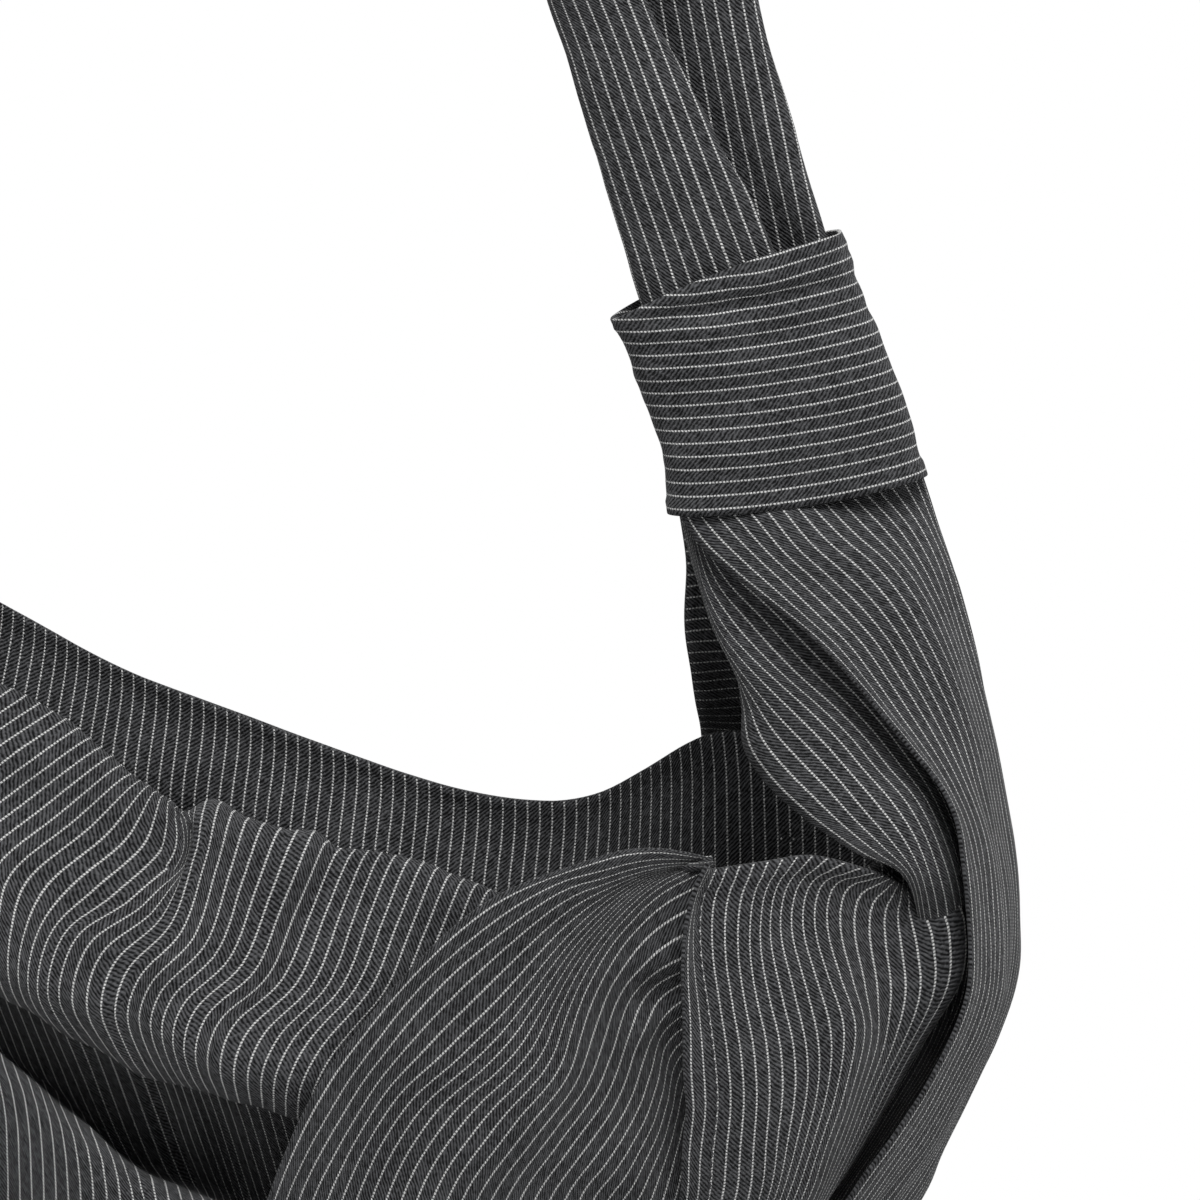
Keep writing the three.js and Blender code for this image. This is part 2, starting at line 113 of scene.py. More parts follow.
# Stretch of the gathered neck inside the cuff: its length and rows, and how it narrows and thickens
NECK_RISE = 24
NECK_RISE_STEPS = 10
NECK_RISE_FORM = (-0.08, 0.5, 0)

# Inside of the bag in millimetres, with heights and shares of the base oval
FACING_HEIGHT = 40
FACING_GAP = 2.4
BACK_FACING_HEIGHT = 50
BACK_FACING_RISE = 0.8
LINING_GAP = 6.5
LINING_DRAW = (0.985, 0.97, 1)
BACK_LINING_FOOT = 3
BACK_LINING_GAP = 7
BASE_COLUMNS = 60
BASE_ROWS = 24
BASE_RISE = 0.9
BASE_SHARE = 1.012
BASE_LINING_RISE = 3.4
BASE_LINING_SHARE = 0.96

# Neck on the outside of the back: its gap there and at the side, and where each of them begins
LIE_GAP = 4
LIE_SIDE_GAP = 3.5
LIE_SIDE = (0.8, 0.93)
LIE_START = (-14, 8)

# Left side: lift of its pieces in millimetres and the heights over which the lift comes and goes
LEFT_LIFT = 40
LIFT_START = (125, 205)
LIFT_END = (205, 298)
# Left wrap in metres: shift, places across that take it, and heights over which its foot is drawn back
LEFT_WRAP_SHIFT = 0.03
LEFT_WRAP_REACH = (0.155, 0.03)
LEFT_WRAP_FOOT = (0.05, 0.13)
LEFT_WRAP_DRAW = 0.026

# Share of the spacings between stripe lines that the cut of each piece is wider than
FRONT_CUT = 0.75
WRAP_CUT = 0.6
PLACKET_CUT = 0.8
FOLD_CUT = 0.9
SHOULDER_CUT = 0.9
NECK_CUT = 0.5
LINE_PLACES = 26
LEAST_CELLS = 4

# Wrinkles in metres: height, usual lengths across and along the stripes, and seed
STRAP_WRINKLES = (0.0007, (0.05, 0.02), 1.5)
KEEPER_WRINKLES = (0.0009, (0.03, 0.016), 21.4)
FRONT_FOLDS = (0.0024, (0.024, 0.07), 3.7)
FRONT_WRINKLES = (0.0006, (0.016, 0.012), 5.1)
BACK_FOLDS = (0.004, (0.11, 0.06), 8.3)
BACK_WRINKLES = (0.0008, (0.03, 0.02), 2.2)
BACK_FACING_WRINKLES = (0.0008, (0.05, 0.03), 8.3)
BACK_LINING_WRINKLES = (0.0015, (0.06, 0.04), 6.6)
WRAP_FOLDS = (0.0014, (0.05, 0.03), 11.2)
WRAP_WRINKLES = (0.0006, (0.015, 0.02), 1.2)
PLACKET_WRINKLES = (0.0012, (0.03, 0.04), 12.4)
FOLD_WRINKLES = (0.0012, (0.02, 0.05), 13.1)
SHOULDER_WRINKLES = (0.0014, (0.018, 0.05), 14.9)
NECK_WRINKLES = (0.0016, (0.03, 0.02), 15.3)
FINE_SHARE = 0.45
FINE_SCALE = 2.3
FOOT_HOLD = 0.03

# Hems in metres: height, width and edges
KEEPER_HEM = (0.0006, 0.005, ("top", "foot"))
FRONT_HEM = (0.0007, 0.007, ("top",))
BACK_HEM = (0.0006, 0.007, ("top",))
WRAP_HEM = (0.0006, 0.007, ("first", "foot"))
PLACKET_HEM = (0.0007, 0.0068, ("first", "top", "foot"))
SHOULDER_HEM = (0.0008, 0.006, ("first", "foot"))
HEM_STEP = 0.8
STITCH_PITCH = 0.0032
STITCH_LENGTH = 0.0022
STITCH_RADIUS = 0.00032
STITCH_INSET = 0.0062
STITCH_LIFT = 0.00016
STITCH_SIDES = 8

# Node and hold of each overlapping piece
SIDE_NODES = {
    "wrap": ("wrap_panel", "hung"),
    "placket": ("placket", "hung"),
    "fold": ("shoulder_fold", "gathered"),
    "shoulder": ("shoulder", "gathered"),
    "neck": ("neck_back", "gathered"),
}

# Cloth surfaces: sizes in metres, noise scales, and shares of each part in tone and relief
FUZZ_SCALE = 1000.0
SLUB_SCALE = 420.0
WEAR_SCALE = 60.0
FINE_DETAIL = 3.0
COARSE_DETAIL = 2.0
NOISE_MIDDLE = 0.5
STRIPE_DRIFT = 0.5
STRIPE_EDGE = (0.28, 0.68)
STRIPE_LEAST = 0.7
STRIPE_WEAR = 0.5
DOT_EDGE = (0.2, 0.42)
DOT_GAP = 0.08
RIB_EDGE = (0.08, 0.4)
RIB_TONE = 0.75
FUZZ_TONE = 1.9
SLUB_TONE = 1.1
WEAR_TONE = 0.5
GROUND_TONE = 0.06
RIB_RELIEF = 0.7
FUZZ_RELIEF = 0.6
SLUB_RELIEF = 0.6
STRIPE_RELIEF = 0.3
WEAVE_RELIEF = 0.0004
BUMP_STRENGTH = 0.8
SPECULAR = 0.12
SHEEN_ROUGHNESS = 0.5
# Roughness of each cloth and what its unevenness adds, and its sheen
SUITING_FINISH = (0.8, 0.15, 0.06)
LINING_FINISH = (0.45, 0.25, 0.2)
THREAD_FINISH = (0.55, 0.2, 0.1)
LINING_YARN = 0.0005
LINING_SHADE = 0.6
LINING_TONE = 0.5
THREAD_TWIST = 0.0006
THREAD_DARK = (0.02, 0.02, 0.022)
THREAD_LIGHT = (0.075, 0.075, 0.08)
HALF_REPEAT = 0.5
RIDGE_FULL = 2
MIX_FACTOR = 0
MIX_FIRST = 6
MIX_SECOND = 7
MIX_COLOUR = 2

# Stage in metres. A light's height counts from the middle of the picture.
FLOOR_DROP = 0.002
FLOOR_SIZE = 14.0
FLOOR_NEAR = 0.12
FLOOR_FAR = 0.34
FLOOR_COLOUR = (0.72, 0.72, 0.72)
SKY_COLOUR = (0.95, 0.97, 1.0)
WHITE = (1.0, 1.0, 1.0)
LIGHT_AIM = 0.6
LIGHTS = (
    ("key_light", (0.4, -0.85, 1.5), "key_power", 0.9),
    ("fill_light", (-1.2, -0.9, 0.6), "fill_power", 1.0),
    ("rim_light", (1.4, 0.25, 0.2), "rim_power", 1.0),
    ("back_light", (-0.9, 1.3, 0.9), "back_power", 1.0),
)

# Front panel: stripe lines from the left seam to the right one, each from the rim to the base,
# as places in the picture, with the depth of each place in millimetres
FRONT_LINES = (
    ((-675, 640), (-705, 720), (-725, 800), (-732, 880), (-722, 960), (-700, 1040),
     (-690, 1060), (-655, 1130), (-600, 1215), (-520, 1310), (-410, 1405), (-205, 1480)),
    ((-508, 628), (-520, 700), (-528, 780), (-530, 860), (-520, 940), (-500, 1020),
     (-492, 1045), (-470, 1110), (-435, 1190), (-385, 1290), (-310, 1395), (-150, 1490)),
    ((-256, 618), (-262, 690), (-268, 770), (-270, 850), (-268, 930), (-262, 1000),
     (-258, 1025), (-250, 1080), (-235, 1160), (-215, 1250), (-180, 1370), (-80, 1500)),
    ((0, 690), (-65, 740), (-125, 800), (-140, 860), (-130, 925), (-105, 957),
     (-100, 950), (-70, 1021), (-62, 1035), (-45, 1110), (-40, 1300), (0, 1505)),
    ((126, 776), (73, 822), (11, 875), (-2, 930), (-2, 975), (10, 1003),
     (14, 996), (53, 1092), (62, 1112), (80, 1170), (85, 1330), (100, 1508)),
    ((176, 803), (173, 852), (130, 899), (75, 938), (58, 1000), (85, 1046),
     (90, 1040), (138, 1161), (150, 1186), (165, 1250), (160, 1360), (170, 1512)),
    ((204, 814), (195, 857), (172, 925), (128, 973), (118, 1020), (146, 1078),
     (151, 1072), (194, 1182), (205, 1205), (225, 1270), (225, 1370), (225, 1513)),
    ((325, 843), (298, 905), (268, 975), (220, 1020), (207, 1060), (218, 1096),
     (223, 1092), (261, 1206), (270, 1230), (290, 1290), (290, 1380), (290, 1514)),
    ((383, 855), (360, 912), (333, 983), (285, 1035), (266, 1075), (266, 1108),
     (271, 1106), (302, 1216), (310, 1240), (330, 1300), (330, 1390), (330, 1514)),
    ((500, 893), (478, 945), (450, 1000), (405, 1060), (380, 1100), (372, 1136),
     (376, 1138), (399, 1234), (405, 1255), (410, 1320), (400, 1400), (390, 1512)),
    ((640, 900), (620, 960), (590, 1020), (560, 1080), (540, 1120), (530, 1155),
     (530, 1165), (535, 1205), (530, 1280), (515, 1350), (490, 1420), (450, 1502)),
    ((800, 905), (790, 960), (775, 1020), (755, 1080), (735, 1130), (715, 1180),
     (710, 1195), (695, 1230), (670, 1300), (630, 1380), (570, 1445), (480, 1490)),
    ((985, 800), (1003, 860), (1004, 930), (990, 1010), (965, 1070), (930, 1130),
     (920, 1150), (890, 1195), (835, 1270), (760, 1355), (650, 1430), (495, 1480)),
)
SEAM_DEPTHS = (0,) * 12
LEFT_SIDE_DEPTHS = (-28, -36, -40, -43, -45, -45, -45, -42, -38, -32, -26, -18)
LEFT_FRONT_DEPTHS = (-44, -52, -58, -62, -64, -64, -63, -60, -56, -50, -46, -33)
ROLL_DEPTHS = (-54, -60, -67, -74, -77, -67, -50, -40, -70, -77, -66, -35)
SWAG_END_DEPTHS = (-54, -60, -67, -74, -77, -67, -50, -40, -66, -68, -60, -35)
WRAPPED_DEPTHS = (-53, -57, -62, -66, -69, -66, -50, -40, -54, -56, -52, -35)
RIGHT_FRONT_DEPTHS = (-46, -50, -53, -54, -54, -53, -52, -51, -51, -50, -46, -33)
RIGHT_SIDE_DEPTHS = (-24, -28, -31, -33, -34, -34, -34, -33, -32, -29, -25, -18)
FRONT_DEPTHS = (
    SEAM_DEPTHS, LEFT_SIDE_DEPTHS, LEFT_FRONT_DEPTHS, ROLL_DEPTHS, ROLL_DEPTHS, ROLL_DEPTHS, ROLL_DEPTHS,
    SWAG_END_DEPTHS, SWAG_END_DEPTHS, WRAPPED_DEPTHS, RIGHT_FRONT_DEPTHS, RIGHT_SIDE_DEPTHS, SEAM_DEPTHS,
)

# Overlapping pieces of the right side: stripe lines as places in the picture.
# Depths are given along the first and the last line, with a swell in between.
WRAP_LINES = (
    ((712, 858), (660, 848), (620, 850), (560, 870), (500, 895), (450, 930), (400, 980), (350, 1040),
     (310, 1100), (270, 1195), (235, 1330)),
    ((712, 862), (650, 866), (600, 878), (560, 891), (498, 937), (440, 987), (383, 1055), (344, 1117),
     (302, 1197), (270, 1332)),
    ((712, 865), (672, 870), (630, 885), (592, 912), (560, 944), (509, 1006), (459, 1055), (402, 1109),
     (356, 1197), (318, 1334)),
    ((713, 868), (665, 893), (630, 925), (608, 954), (589, 989), (576, 1024), (560, 1072), (517, 1124),
     (467, 1197), (420, 1336)),
    ((712, 945), (681, 957), (656, 973), (633, 999), (621, 1027), (611, 1062), (595, 1097), (560, 1142),
     (520, 1200), (470, 1338)),
    ((712, 1010), (681, 1027), (665, 1046), (659, 1075), (646, 1117), (617, 1164), (592, 1199), (540, 1338)),
    ((712, 1060), (695, 1080), (688, 1110), (680, 1150), (665, 1199), (610, 1338)),
    ((730, 1090), (722, 1120), (716, 1150), (705, 1199), (660, 1338)),
)
WRAP_DEPTHS = ((0, -55), (0.12, -61), (0.5, -74), (0.75, -78), (1, -73))
WRAP_LAST_DEPTHS = ((0, -50), (0.4, -53), (0.7, -48), (1, -36))
WRAP_SWELL = ((0, 2), (0.7, 2), (1, 8))
PLACKET_LINES = (
    ((705, 861), (694, 884), (684, 919), (681, 973), (683, 1024), (684, 1075), (688, 1107), (684, 1155),
     (681, 1199), (650, 1334)),
    ((710, 868), (697, 903), (696, 954), (704, 1011), (710, 1062), (713, 1107), (708, 1155), (704, 1199),
     (668, 1333)),
    ((764, 861), (751, 900), (748, 948), (755, 999), (764, 1043), (767, 1091), (764, 1139), (758, 1199),
     (708, 1331)),
    ((815, 855), (790, 884), (783, 928), (796, 986), (809, 1043), (809, 1091), (799, 1139), (783, 1199),
     (728, 1329)),
    ((879, 874), (841, 887), (834, 925), (847, 979), (860, 1027), (847, 1091), (825, 1155), (809, 1199),
     (746, 1327)),
    ((903, 884), (904, 916), (911, 954), (914, 995), (898, 1050), (869, 1107), (847, 1155), (825, 1199),
     (758, 1325)),
    ((914, 881), (959, 903), (967, 954), (960, 989), (936, 1030), (908, 1075), (879, 1123), (850, 1168),
     (828, 1199), (768, 1322)),
)
PLACKET_DEPTHS = ((0, -62), (0.4, -66), (0.7, -61), (0.85, -50), (1, -36))
PLACKET_LAST_DEPTHS = ((0, -22), (0.3, -29), (0.7, -31), (0.85, -27), (1, -20))
PLACKET_SWELL = ((0, 3), (1, 3))
FOLD_LINES = (
    ((666, 434), (691, 560), (710, 614), (728, 657), (739, 686), (740, 726), (747, 759), (766, 783),
     (790, 807), (822, 831), (854, 852), (889, 868), (911, 880), (917, 950), (916, 995), (900, 1050),
     (872, 1107), (849, 1155), (827, 1199), (768, 1318)),
    ((670, 432), (697, 572), (720, 641), (739, 673), (769, 716), (798, 748), (833, 785), (870, 828),
     (897, 855), (913, 876), (921, 910), (926, 955), (924, 1000), (906, 1055), (877, 1110), (852, 1158),
     (829, 1200), (770, 1318)),
    ((676, 430), (699, 572), (718, 619), (747, 654), (790, 694), (828, 729), (865, 772), (897, 810),
     (919, 847), (930, 882), (938, 915), (941, 955), (937, 1002), (916, 1058), (885, 1112), (857, 1160),
     (831, 1201), (772, 1318)),
    ((684, 430), (707, 566), (739, 611), (769, 646), (806, 684), (849, 721), (886, 764), (919, 804),
     (937, 842), (948, 876), (955, 912), (957, 955), (950, 1003), (926, 1058), (893, 1113), (864, 1160),
     (834, 1202), (775, 1318)),
    ((690, 430), (722, 545), (772, 582), (815, 620), (855, 660), (892, 702), (924, 748), (948, 795),
     (964, 840), (972, 880), (976, 915), (978, 955), (970, 1000), (946, 1050), (915, 1100), (885, 1145),
     (850, 1199), (782, 1316)),
    ((698, 430), (740, 530), (800, 560), (850, 598), (895, 645), (930, 692), (957, 740), (976, 790),
     (987, 840), (993, 880), (996, 915), (997, 955), (990, 1000), (966, 1050), (936, 1100), (905, 1147),
     (868, 1199), (795, 1316)),
)
FOLD_DEPTHS = (
    (0, -4), (0.15, -5), (0.3, -14), (0.46, -38), (0.53, -38), (0.58, -26), (0.66, -22), (0.8, -24), (1, -17),
)
FOLD_LAST_DEPTHS = ((0, -3), (0.15, -4), (0.4, -6), (0.6, -8), (0.8, -9), (1, -13))
FOLD_SWELL = ((0, 1), (0.15, 4), (0.3, 11), (0.5, 10), (0.65, 4), (1, 1))
SHOULDER_LINES = (
    ((660, 422), (676, 500), (684, 526), (712, 558), (755, 592), (811, 638), (854, 684), (897, 734),
     (929, 772), (951, 812), (965, 880), (971, 950), (965, 1005), (950, 1040), (920, 1094), (888, 1142),
     (847, 1199), (772, 1318)),
    ((674, 414), (687, 482), (707, 508), (731, 539), (769, 574), (806, 609), (849, 651), (881, 694),
     (911, 734), (940, 777), (961, 818), (977, 880), (983, 950), (978, 1005), (963, 1040), (934, 1094),
     (903, 1142), (862, 1199), (786, 1319)),
    ((718, 404), (739, 474), (761, 503), (801, 552), (844, 590), (881, 630), (911, 676), (937, 721),
     (961, 772), (978, 818), (990, 870), (995, 950), (990, 1005), (975, 1044), (947, 1098), (917, 1148),
     (878, 1199), (800, 1320)),
    ((770, 395), (790, 468), (811, 495), (844, 531), (876, 558), (905, 593), (932, 641), (956, 692),
     (975, 745), (988, 796), (1001, 870), (1005, 950), (1000, 1005), (983, 1050), (957, 1100), (930, 1150),
     (895, 1199), (815, 1320)),
    ((826, 388), (848, 460), (868, 485), (897, 515), (924, 555), (945, 601), (964, 654), (980, 708),
     (994, 761), (1004, 815), (1012, 880), (1013, 950), (1005, 1005), (988, 1052), (963, 1104), (938, 1154),
     (912, 1199), (830, 1320)),
    ((888, 382), (921, 478), (940, 534), (961, 595), (978, 657), (991, 716), (1002, 769), (1011, 823),
     (1018, 880), (1018, 940), (1012, 985), (1000, 1025), (985, 1060), (965, 1104), (943, 1155),
     (925, 1199), (845, 1320)),
)
SHOULDER_DEPTHS = ((0, -3), (0.07, -4), (0.14, -13), (0.4, -31), (0.65, -35), (0.85, -36), (1, -23))
SHOULDER_EDGE_DEPTHS = ((0, 0), (1, 0))
SHOULDER_SWELL = ((0, 4), (0.07, 5), (0.16, 8), (0.4, 3), (1, 1))

# Lines of the shoulder past its outer edge, on the back of the bag: how far in they lie, and their depths
SHOULDER_TURNS = (
    (((0, 4), (0.3, 10), (0.5, 13), (1, 9)), ((0, 1), (0.45, 4), (0.55, 13), (0.8, 14), (1, 10))),
    (((0, 8), (0.3, 30), (0.5, 58), (0.75, 68), (1, 43)),
     ((0, 2), (0.45, 8), (0.55, 27), (0.8, 28), (1, 21))),
)

# Back layer of the neck: lines across it as places in the picture, with depths in millimetres
NECK_LINES = (
    ((664, 420, 5), (770, 402, 9), (880, 386, 1)),
    ((678, 505, 4), (800, 490, 13), (912, 476, 1)),
    ((686, 560, 8), (820, 545, 18), (944, 560, 1)),
    ((685, 630, 16), (830, 615, 26), (968, 640, 1)),
    ((691, 673, 28), (840, 665, 32), (981, 700, 1)),
    ((698, 716, 41), (850, 715, 39), (992, 750, 2)),
    ((704, 752, 55), (860, 770, 45), (1002, 800, 4)),
    ((712, 810, 60), (866, 830, 49), (1008, 850, 7)),
)

# Cuff: its left and right edges from the top down, as places in the picture
KEEPER_LEFT_EDGE = ((612, 318), (633, 365), (648, 410), (662, 455), (668, 512))
KEEPER_RIGHT_EDGE = ((838, 232), (858, 280), (880, 335), (905, 400), (926, 474))
KEEPER_TOP_BOW = 2.8
KEEPER_BOTTOM_BOW = 2.2

# Creases as places in the picture, with depth, height, length, width and turn
CREASE_REACH = (12, 24)
FRONT_CREASES = (
    (178, 842, -59, -5.5, 9, 4.0, 78), (206, 830, -56, 3.0, 9, 5.0, 60), (150, 975, -74, 2.2, 14, 3.5, 35),
    (290, 880, -60, 2.0, 22, 4.0, 62), (316, 890, -61, -2.0, 20, 3.5, 62), (355, 1010, -68, 2.0, 16, 4.5, 50),
    (60, 900, -70, 2.2, 20, 4.5, 28), (40, 770, -62, 1.8, 16, 4.0, -30), (270, 990, -72, -1.8, 16, 4.0, 48),
)
WRAP_CREASES = (
    (668, 992, -56, -3.0, 9, 4.0, 20), (655, 1020, -57, 2.2, 11, 3.5, 30), (662, 960, -58, 2.0, 12, 3.5, 8),
    (430, 1010, -72, 1.8, 26, 5.0, 40), (560, 900, -66, 1.6, 24, 5.0, 28),
)
KEEPER_CREASES = (
    (742, 288, -12, 1.7, 26, 2.6, 12), (752, 299, -12, -1.7, 24, 2.2, 10), (690, 330, -12, 1.2, 18, 2.4, 4),
    (800, 330, -12, -1.1, 20, 2.6, 14), (700, 372, -12, 1.0, 22, 3.0, 8),
)


# Smooth grids of cloth


def spline_weights(knots, samples):
    """Matrix that takes values at the knots to a smooth curve at the samples."""
    count = len(knots)
    unit = np.eye(count)
    before = np.maximum(np.arange(count) - 1, 0)
    after = np.minimum(np.arange(count) + 1, count - 1)
    slopes = (unit[after] - unit[before]) / (knots[after] - knots[before])[:, None]
    span = np.clip(np.searchsorted(knots, samples, side="right") - 1, 0, count - 2)
    length = (knots[span + 1] - knots[span])[:, None]
    t = (samples - knots[span])[:, None] / length
    rise = t * t * (3 - 2 * t)
    start_pull = t * (1 - t) ** 2 * length
    end_pull = -t * t * (1 - t) * length
    plain = (1 - rise) * unit[span] + rise * unit[span + 1]
    return plain + start_pull * slopes[span] + end_pull * slopes[span + 1]


def run_lengths(points):
    """Length along a line of points from 0, or along each column of a grid."""
    steps = np.linalg.norm(np.diff(points, axis=0), axis=-1)
    return np.concatenate([np.zeros_like(steps[:1]), np.cumsum(steps, axis=0)])


def resampled(points, count):
    """The same smooth line through evenly spaced points."""
    lengths = run_lengths(points)
    return spline_weights(lengths, np.linspace(0, lengths[-1], count)) @ points


def ease(value, start, end):
    """Smooth step from 0 at start to 1 at end."""
    t = np.clip((value - start) / (end - start), 0, 1)
    return t * t * (3 - 2 * t)


def stops(table, places):
    """Smooth values over a table of places and values."""
    knots, values = np.array(table, float).T
    return spline_weights(knots, np.clip(places, knots[0], knots[-1])) @ values


class Cloth:
    """A grid of points [row, column] in metres, with cloth lengths across (u) and along (v) its stripes."""

    def __init__(self, points, across, along):
        self.points = points
        self.across = across
        self.along = along

    @classmethod
    def through(cls, net, cut):
        """Cloth through a net [line, place, xyz], cut to the wider spacings of the lines."""
        cell = bpy.context.scene.bag_cloth.cell
        tangents = np.gradient(net, axis=1)
        tangents /= np.linalg.norm(tangents, axis=-1, keepdims=True)
        steps = np.diff(net, axis=0)
        along = (tangents[1:] + tangents[:-1]) / 2
        clear = steps - (steps * along).sum(-1, keepdims=True) * along
        widths = np.quantile(np.linalg.norm(clear, axis=-1), cut, axis=1)
        across_knots = np.concatenate(([0], np.cumsum(np.maximum(widths, MM))))
        rows = np.linalg.norm(np.diff(net, axis=1), axis=-1).mean(axis=0)
        along_knots = np.concatenate(([0], np.cumsum(rows)))
        spread = np.linalg.norm(steps, axis=-1).mean(axis=1).sum()
        columns = max(int(spread / cell), LEAST_CELLS)
        lines = max(int(along_knots[-1] / cell), LEAST_CELLS)
        across = np.linspace(0, across_knots[-1], columns + 1)
        down = np.linspace(0, along_knots[-1], lines + 1)
        across_weights = spline_weights(across_knots, across)
        down_weights = spline_weights(along_knots, down)
        points = np.einsum("ri,cj,jik->rck", down_weights, across_weights, net)
        return cls(points, across, down)

    def moved(self, distance):
        """The cloth pushed along its normals by a distance, for each point or for all."""
        down, across = np.gradient(self.points, axis=(0, 1))
        normal = np.cross(down, across)
        normal /= np.maximum(np.linalg.norm(normal, axis=-1, keepdims=True), SHORTEST)
        return Cloth(self.points + normal * np.asarray(distance)[..., None], self.across, self.along)

    def wrinkled(self, height, stretch, seed, share=1.0):
        """Soft wrinkles. Stretch is their usual length across and along the stripes, in metres."""
        wide, long = stretch
        heights = np.empty(self.points.shape[:2])
        for row, v in enumerate(self.along):
            for column, u in enumerate(self.across):
                place = Vector((u / wide, v / long, seed))
                heights[row, column] = noise.noise(place) + FINE_SHARE * noise.noise(place * FINE_SCALE)
        return self.moved(heights * height * share)

    def hemmed(self, height, width, edges):
        """A raised band along the named edges."""
        u = self.across[None, :]
        v = self.along[:, None]
        gaps = {"first": u, "top": v, "foot": self.along[-1] - v}
        raised = np.zeros(self.points.shape[:2])
        for edge in edges:
            raised = np.maximum(raised, 1 - ease(gaps[edge], width * HEM_STEP, width))
        return self.moved(raised * height)

    def creased(self, creases):
        """Creases and dimples at places in the picture, with height, length, width and turn."""
        heights = np.zeros(self.points.shape[:2])
        for *place, height, length, width, turn in creases:
            away = (self.points - photo_points(place)) / MM
            angle = math.radians(turn)
            along = away[..., 0] * math.cos(angle) + away[..., 2] * math.sin(angle)
            across = away[..., 2] * math.cos(angle) - away[..., 0] * math.sin(angle)
            near = 1 - ease(np.abs(away[..., 1]), *CREASE_REACH)
            heights += height * near * np.exp(-((along / length) ** 2) - (across / width) ** 2)
        return self.moved(heights * MM)

    def mirrored(self):
        """The same piece for the left side, where the mouth sits higher."""
        points = self.points * (-1, 1, 1)
        height = (points[..., 2] - BASE_LEVEL) / MM
        points[..., 2] += MM * LEFT_LIFT * ease(height, *LIFT_START) * (1 - ease(height, *LIFT_END))
        return Cloth(points[:, ::-1], self.across[-1] - self.across[::-1], self.along)

    def risen(self):
        """The cloth carried on up inside the cuff from its first row."""
        way = NECK_RISE * MM * np.array((-math.sin(STRAP_LEAN), 0, math.cos(STRAP_LEAN)))
        away = self.points[0] - (self.points[0, :, 0].mean(), 0, 0)
        shares = np.linspace(1, 0, NECK_RISE_STEPS, endpoint=False)
        top = [self.points[0] + share * (way + away * NECK_RISE_FORM) for share in shares]
        along = np.concatenate([(1 - shares) * NECK_RISE * MM, self.along + NECK_RISE * MM])
        return Cloth(np.concatenate([top, self.points]), self.across, along)

    def turned(self):
        """The cloth with its rows and columns exchanged."""
        return Cloth(np.swapaxes(self.points, 0, 1), self.along, self.across)

    def area(self):
        a = self.points[1:, 1:] - self.points[:-1, :-1]
        b = self.points[1:, :-1] - self.points[:-1, 1:]
        return float(np.linalg.norm(np.cross(a, b), axis=-1).sum() / 2)


def cloth_object(name, cloth, closed=False, flip=False, even=False):
    """A cloth grid as a mesh with its cloth map, thickened and shaded smooth.

    A closed ring has its stripes round it. An even map has straight rows.
    Others follow the length of each column.
    """
    rows, columns = cloth.points.shape[:2]
    if closed:
        columns -= 1
    index = np.arange(rows * columns).reshape(rows, columns)
    here = index[:-1]
    below = index[1:]
    right = np.roll(here, -1, axis=1)
    below_right = np.roll(below, -1, axis=1)
    faces = np.stack([here, below, below_right, right], axis=-1)
    if even:
        v = np.repeat(cloth.along[:, None], cloth.points.shape[1], axis=1)
    else:
        v = run_lengths(cloth.points)
    u = np.broadcast_to(cloth.across, v.shape)
    flat = np.stack([v[-1] - v, u] if closed else [u, v], axis=-1)
    corners = np.stack([flat[:-1, :-1], flat[1:, :-1], flat[1:, 1:], flat[:-1, 1:]], axis=2)
    if not closed:
        faces = faces[:, :-1]
    if flip:
        faces = faces[..., ::-1]
        corners = corners[:, :, ::-1]
    mesh = bpy.data.meshes.new(name)
    mesh.from_pydata(cloth.points[:, :columns].reshape(-1, 3).tolist(), [], faces.reshape(-1, 4).tolist())
    layer = mesh.uv_layers.new(name="cloth")
    layer.data.foreach_set("uv", corners.reshape(-1).astype(np.float32))
    piece = smooth_object(name, mesh)
    solid = piece.modifiers.new("Cloth thickness", "SOLIDIFY")
    solid.thickness = bpy.context.scene.bag_cloth.thickness
    solid.offset = -1
    return piece


def smooth_object(name, mesh):
    """An object with a smooth mesh, in the scene."""
    mesh.polygons.foreach_set("use_smooth", [True] * len(mesh.polygons))
    mesh.update()
    piece = bpy.data.objects.new(name, mesh)
    bpy.context.scene.collection.objects.link(piece)
    return piece


# Places in the picture


def photo_points(places):
    """Picture places (x, y, depth in millimetres) as points in metres."""
    view = bpy.context.scene.bag_view
    places = np.asarray(places, float)
    turn = view.elevation
    forward = np.array((0, math.cos(turn), -math.sin(turn)))
    up = np.array((0, math.sin(turn), math.cos(turn)))
    aim = np.array((view.aim_x, 0, BASE_LEVEL + view.aim_height))
    eye = aim - forward * view.distance
    pixel = view.width / IMAGE_SIZE
    right = (places[..., 0:1] - IMAGE_SIZE / 2) * pixel * np.array((1, 0, 0))
    rise = (IMAGE_SIZE / 2 - places[..., 1:2]) * pixel * up
    ray = forward * view.distance + right + rise
    reach = (places[..., 2:3] * MM - eye[1]) / ray[..., 1:2]
    return eye + ray * reach


def side_net(lines, depths, swell):
    """Net of points through stripe lines of the picture, with depths along some lines, by their number."""
    shares = np.linspace(0, 1, LINE_PLACES)
    numbers = list(depths)
    tables = np.array([stops(table, shares) for table in depths.values()])
    swells = stops(swell, shares)
    net = []
    for number, line in enumerate(lines):
        places = resampled(np.array(line, float), LINE_PLACES)
        depth = np.array([np.interp(number, numbers, column) for column in tables.T])
        bulge = swells * math.sin(math.pi * min(number / numbers[1], 1))
        net.append(photo_points(np.column_stack([places, depth - bulge])))
    return np.array(net)


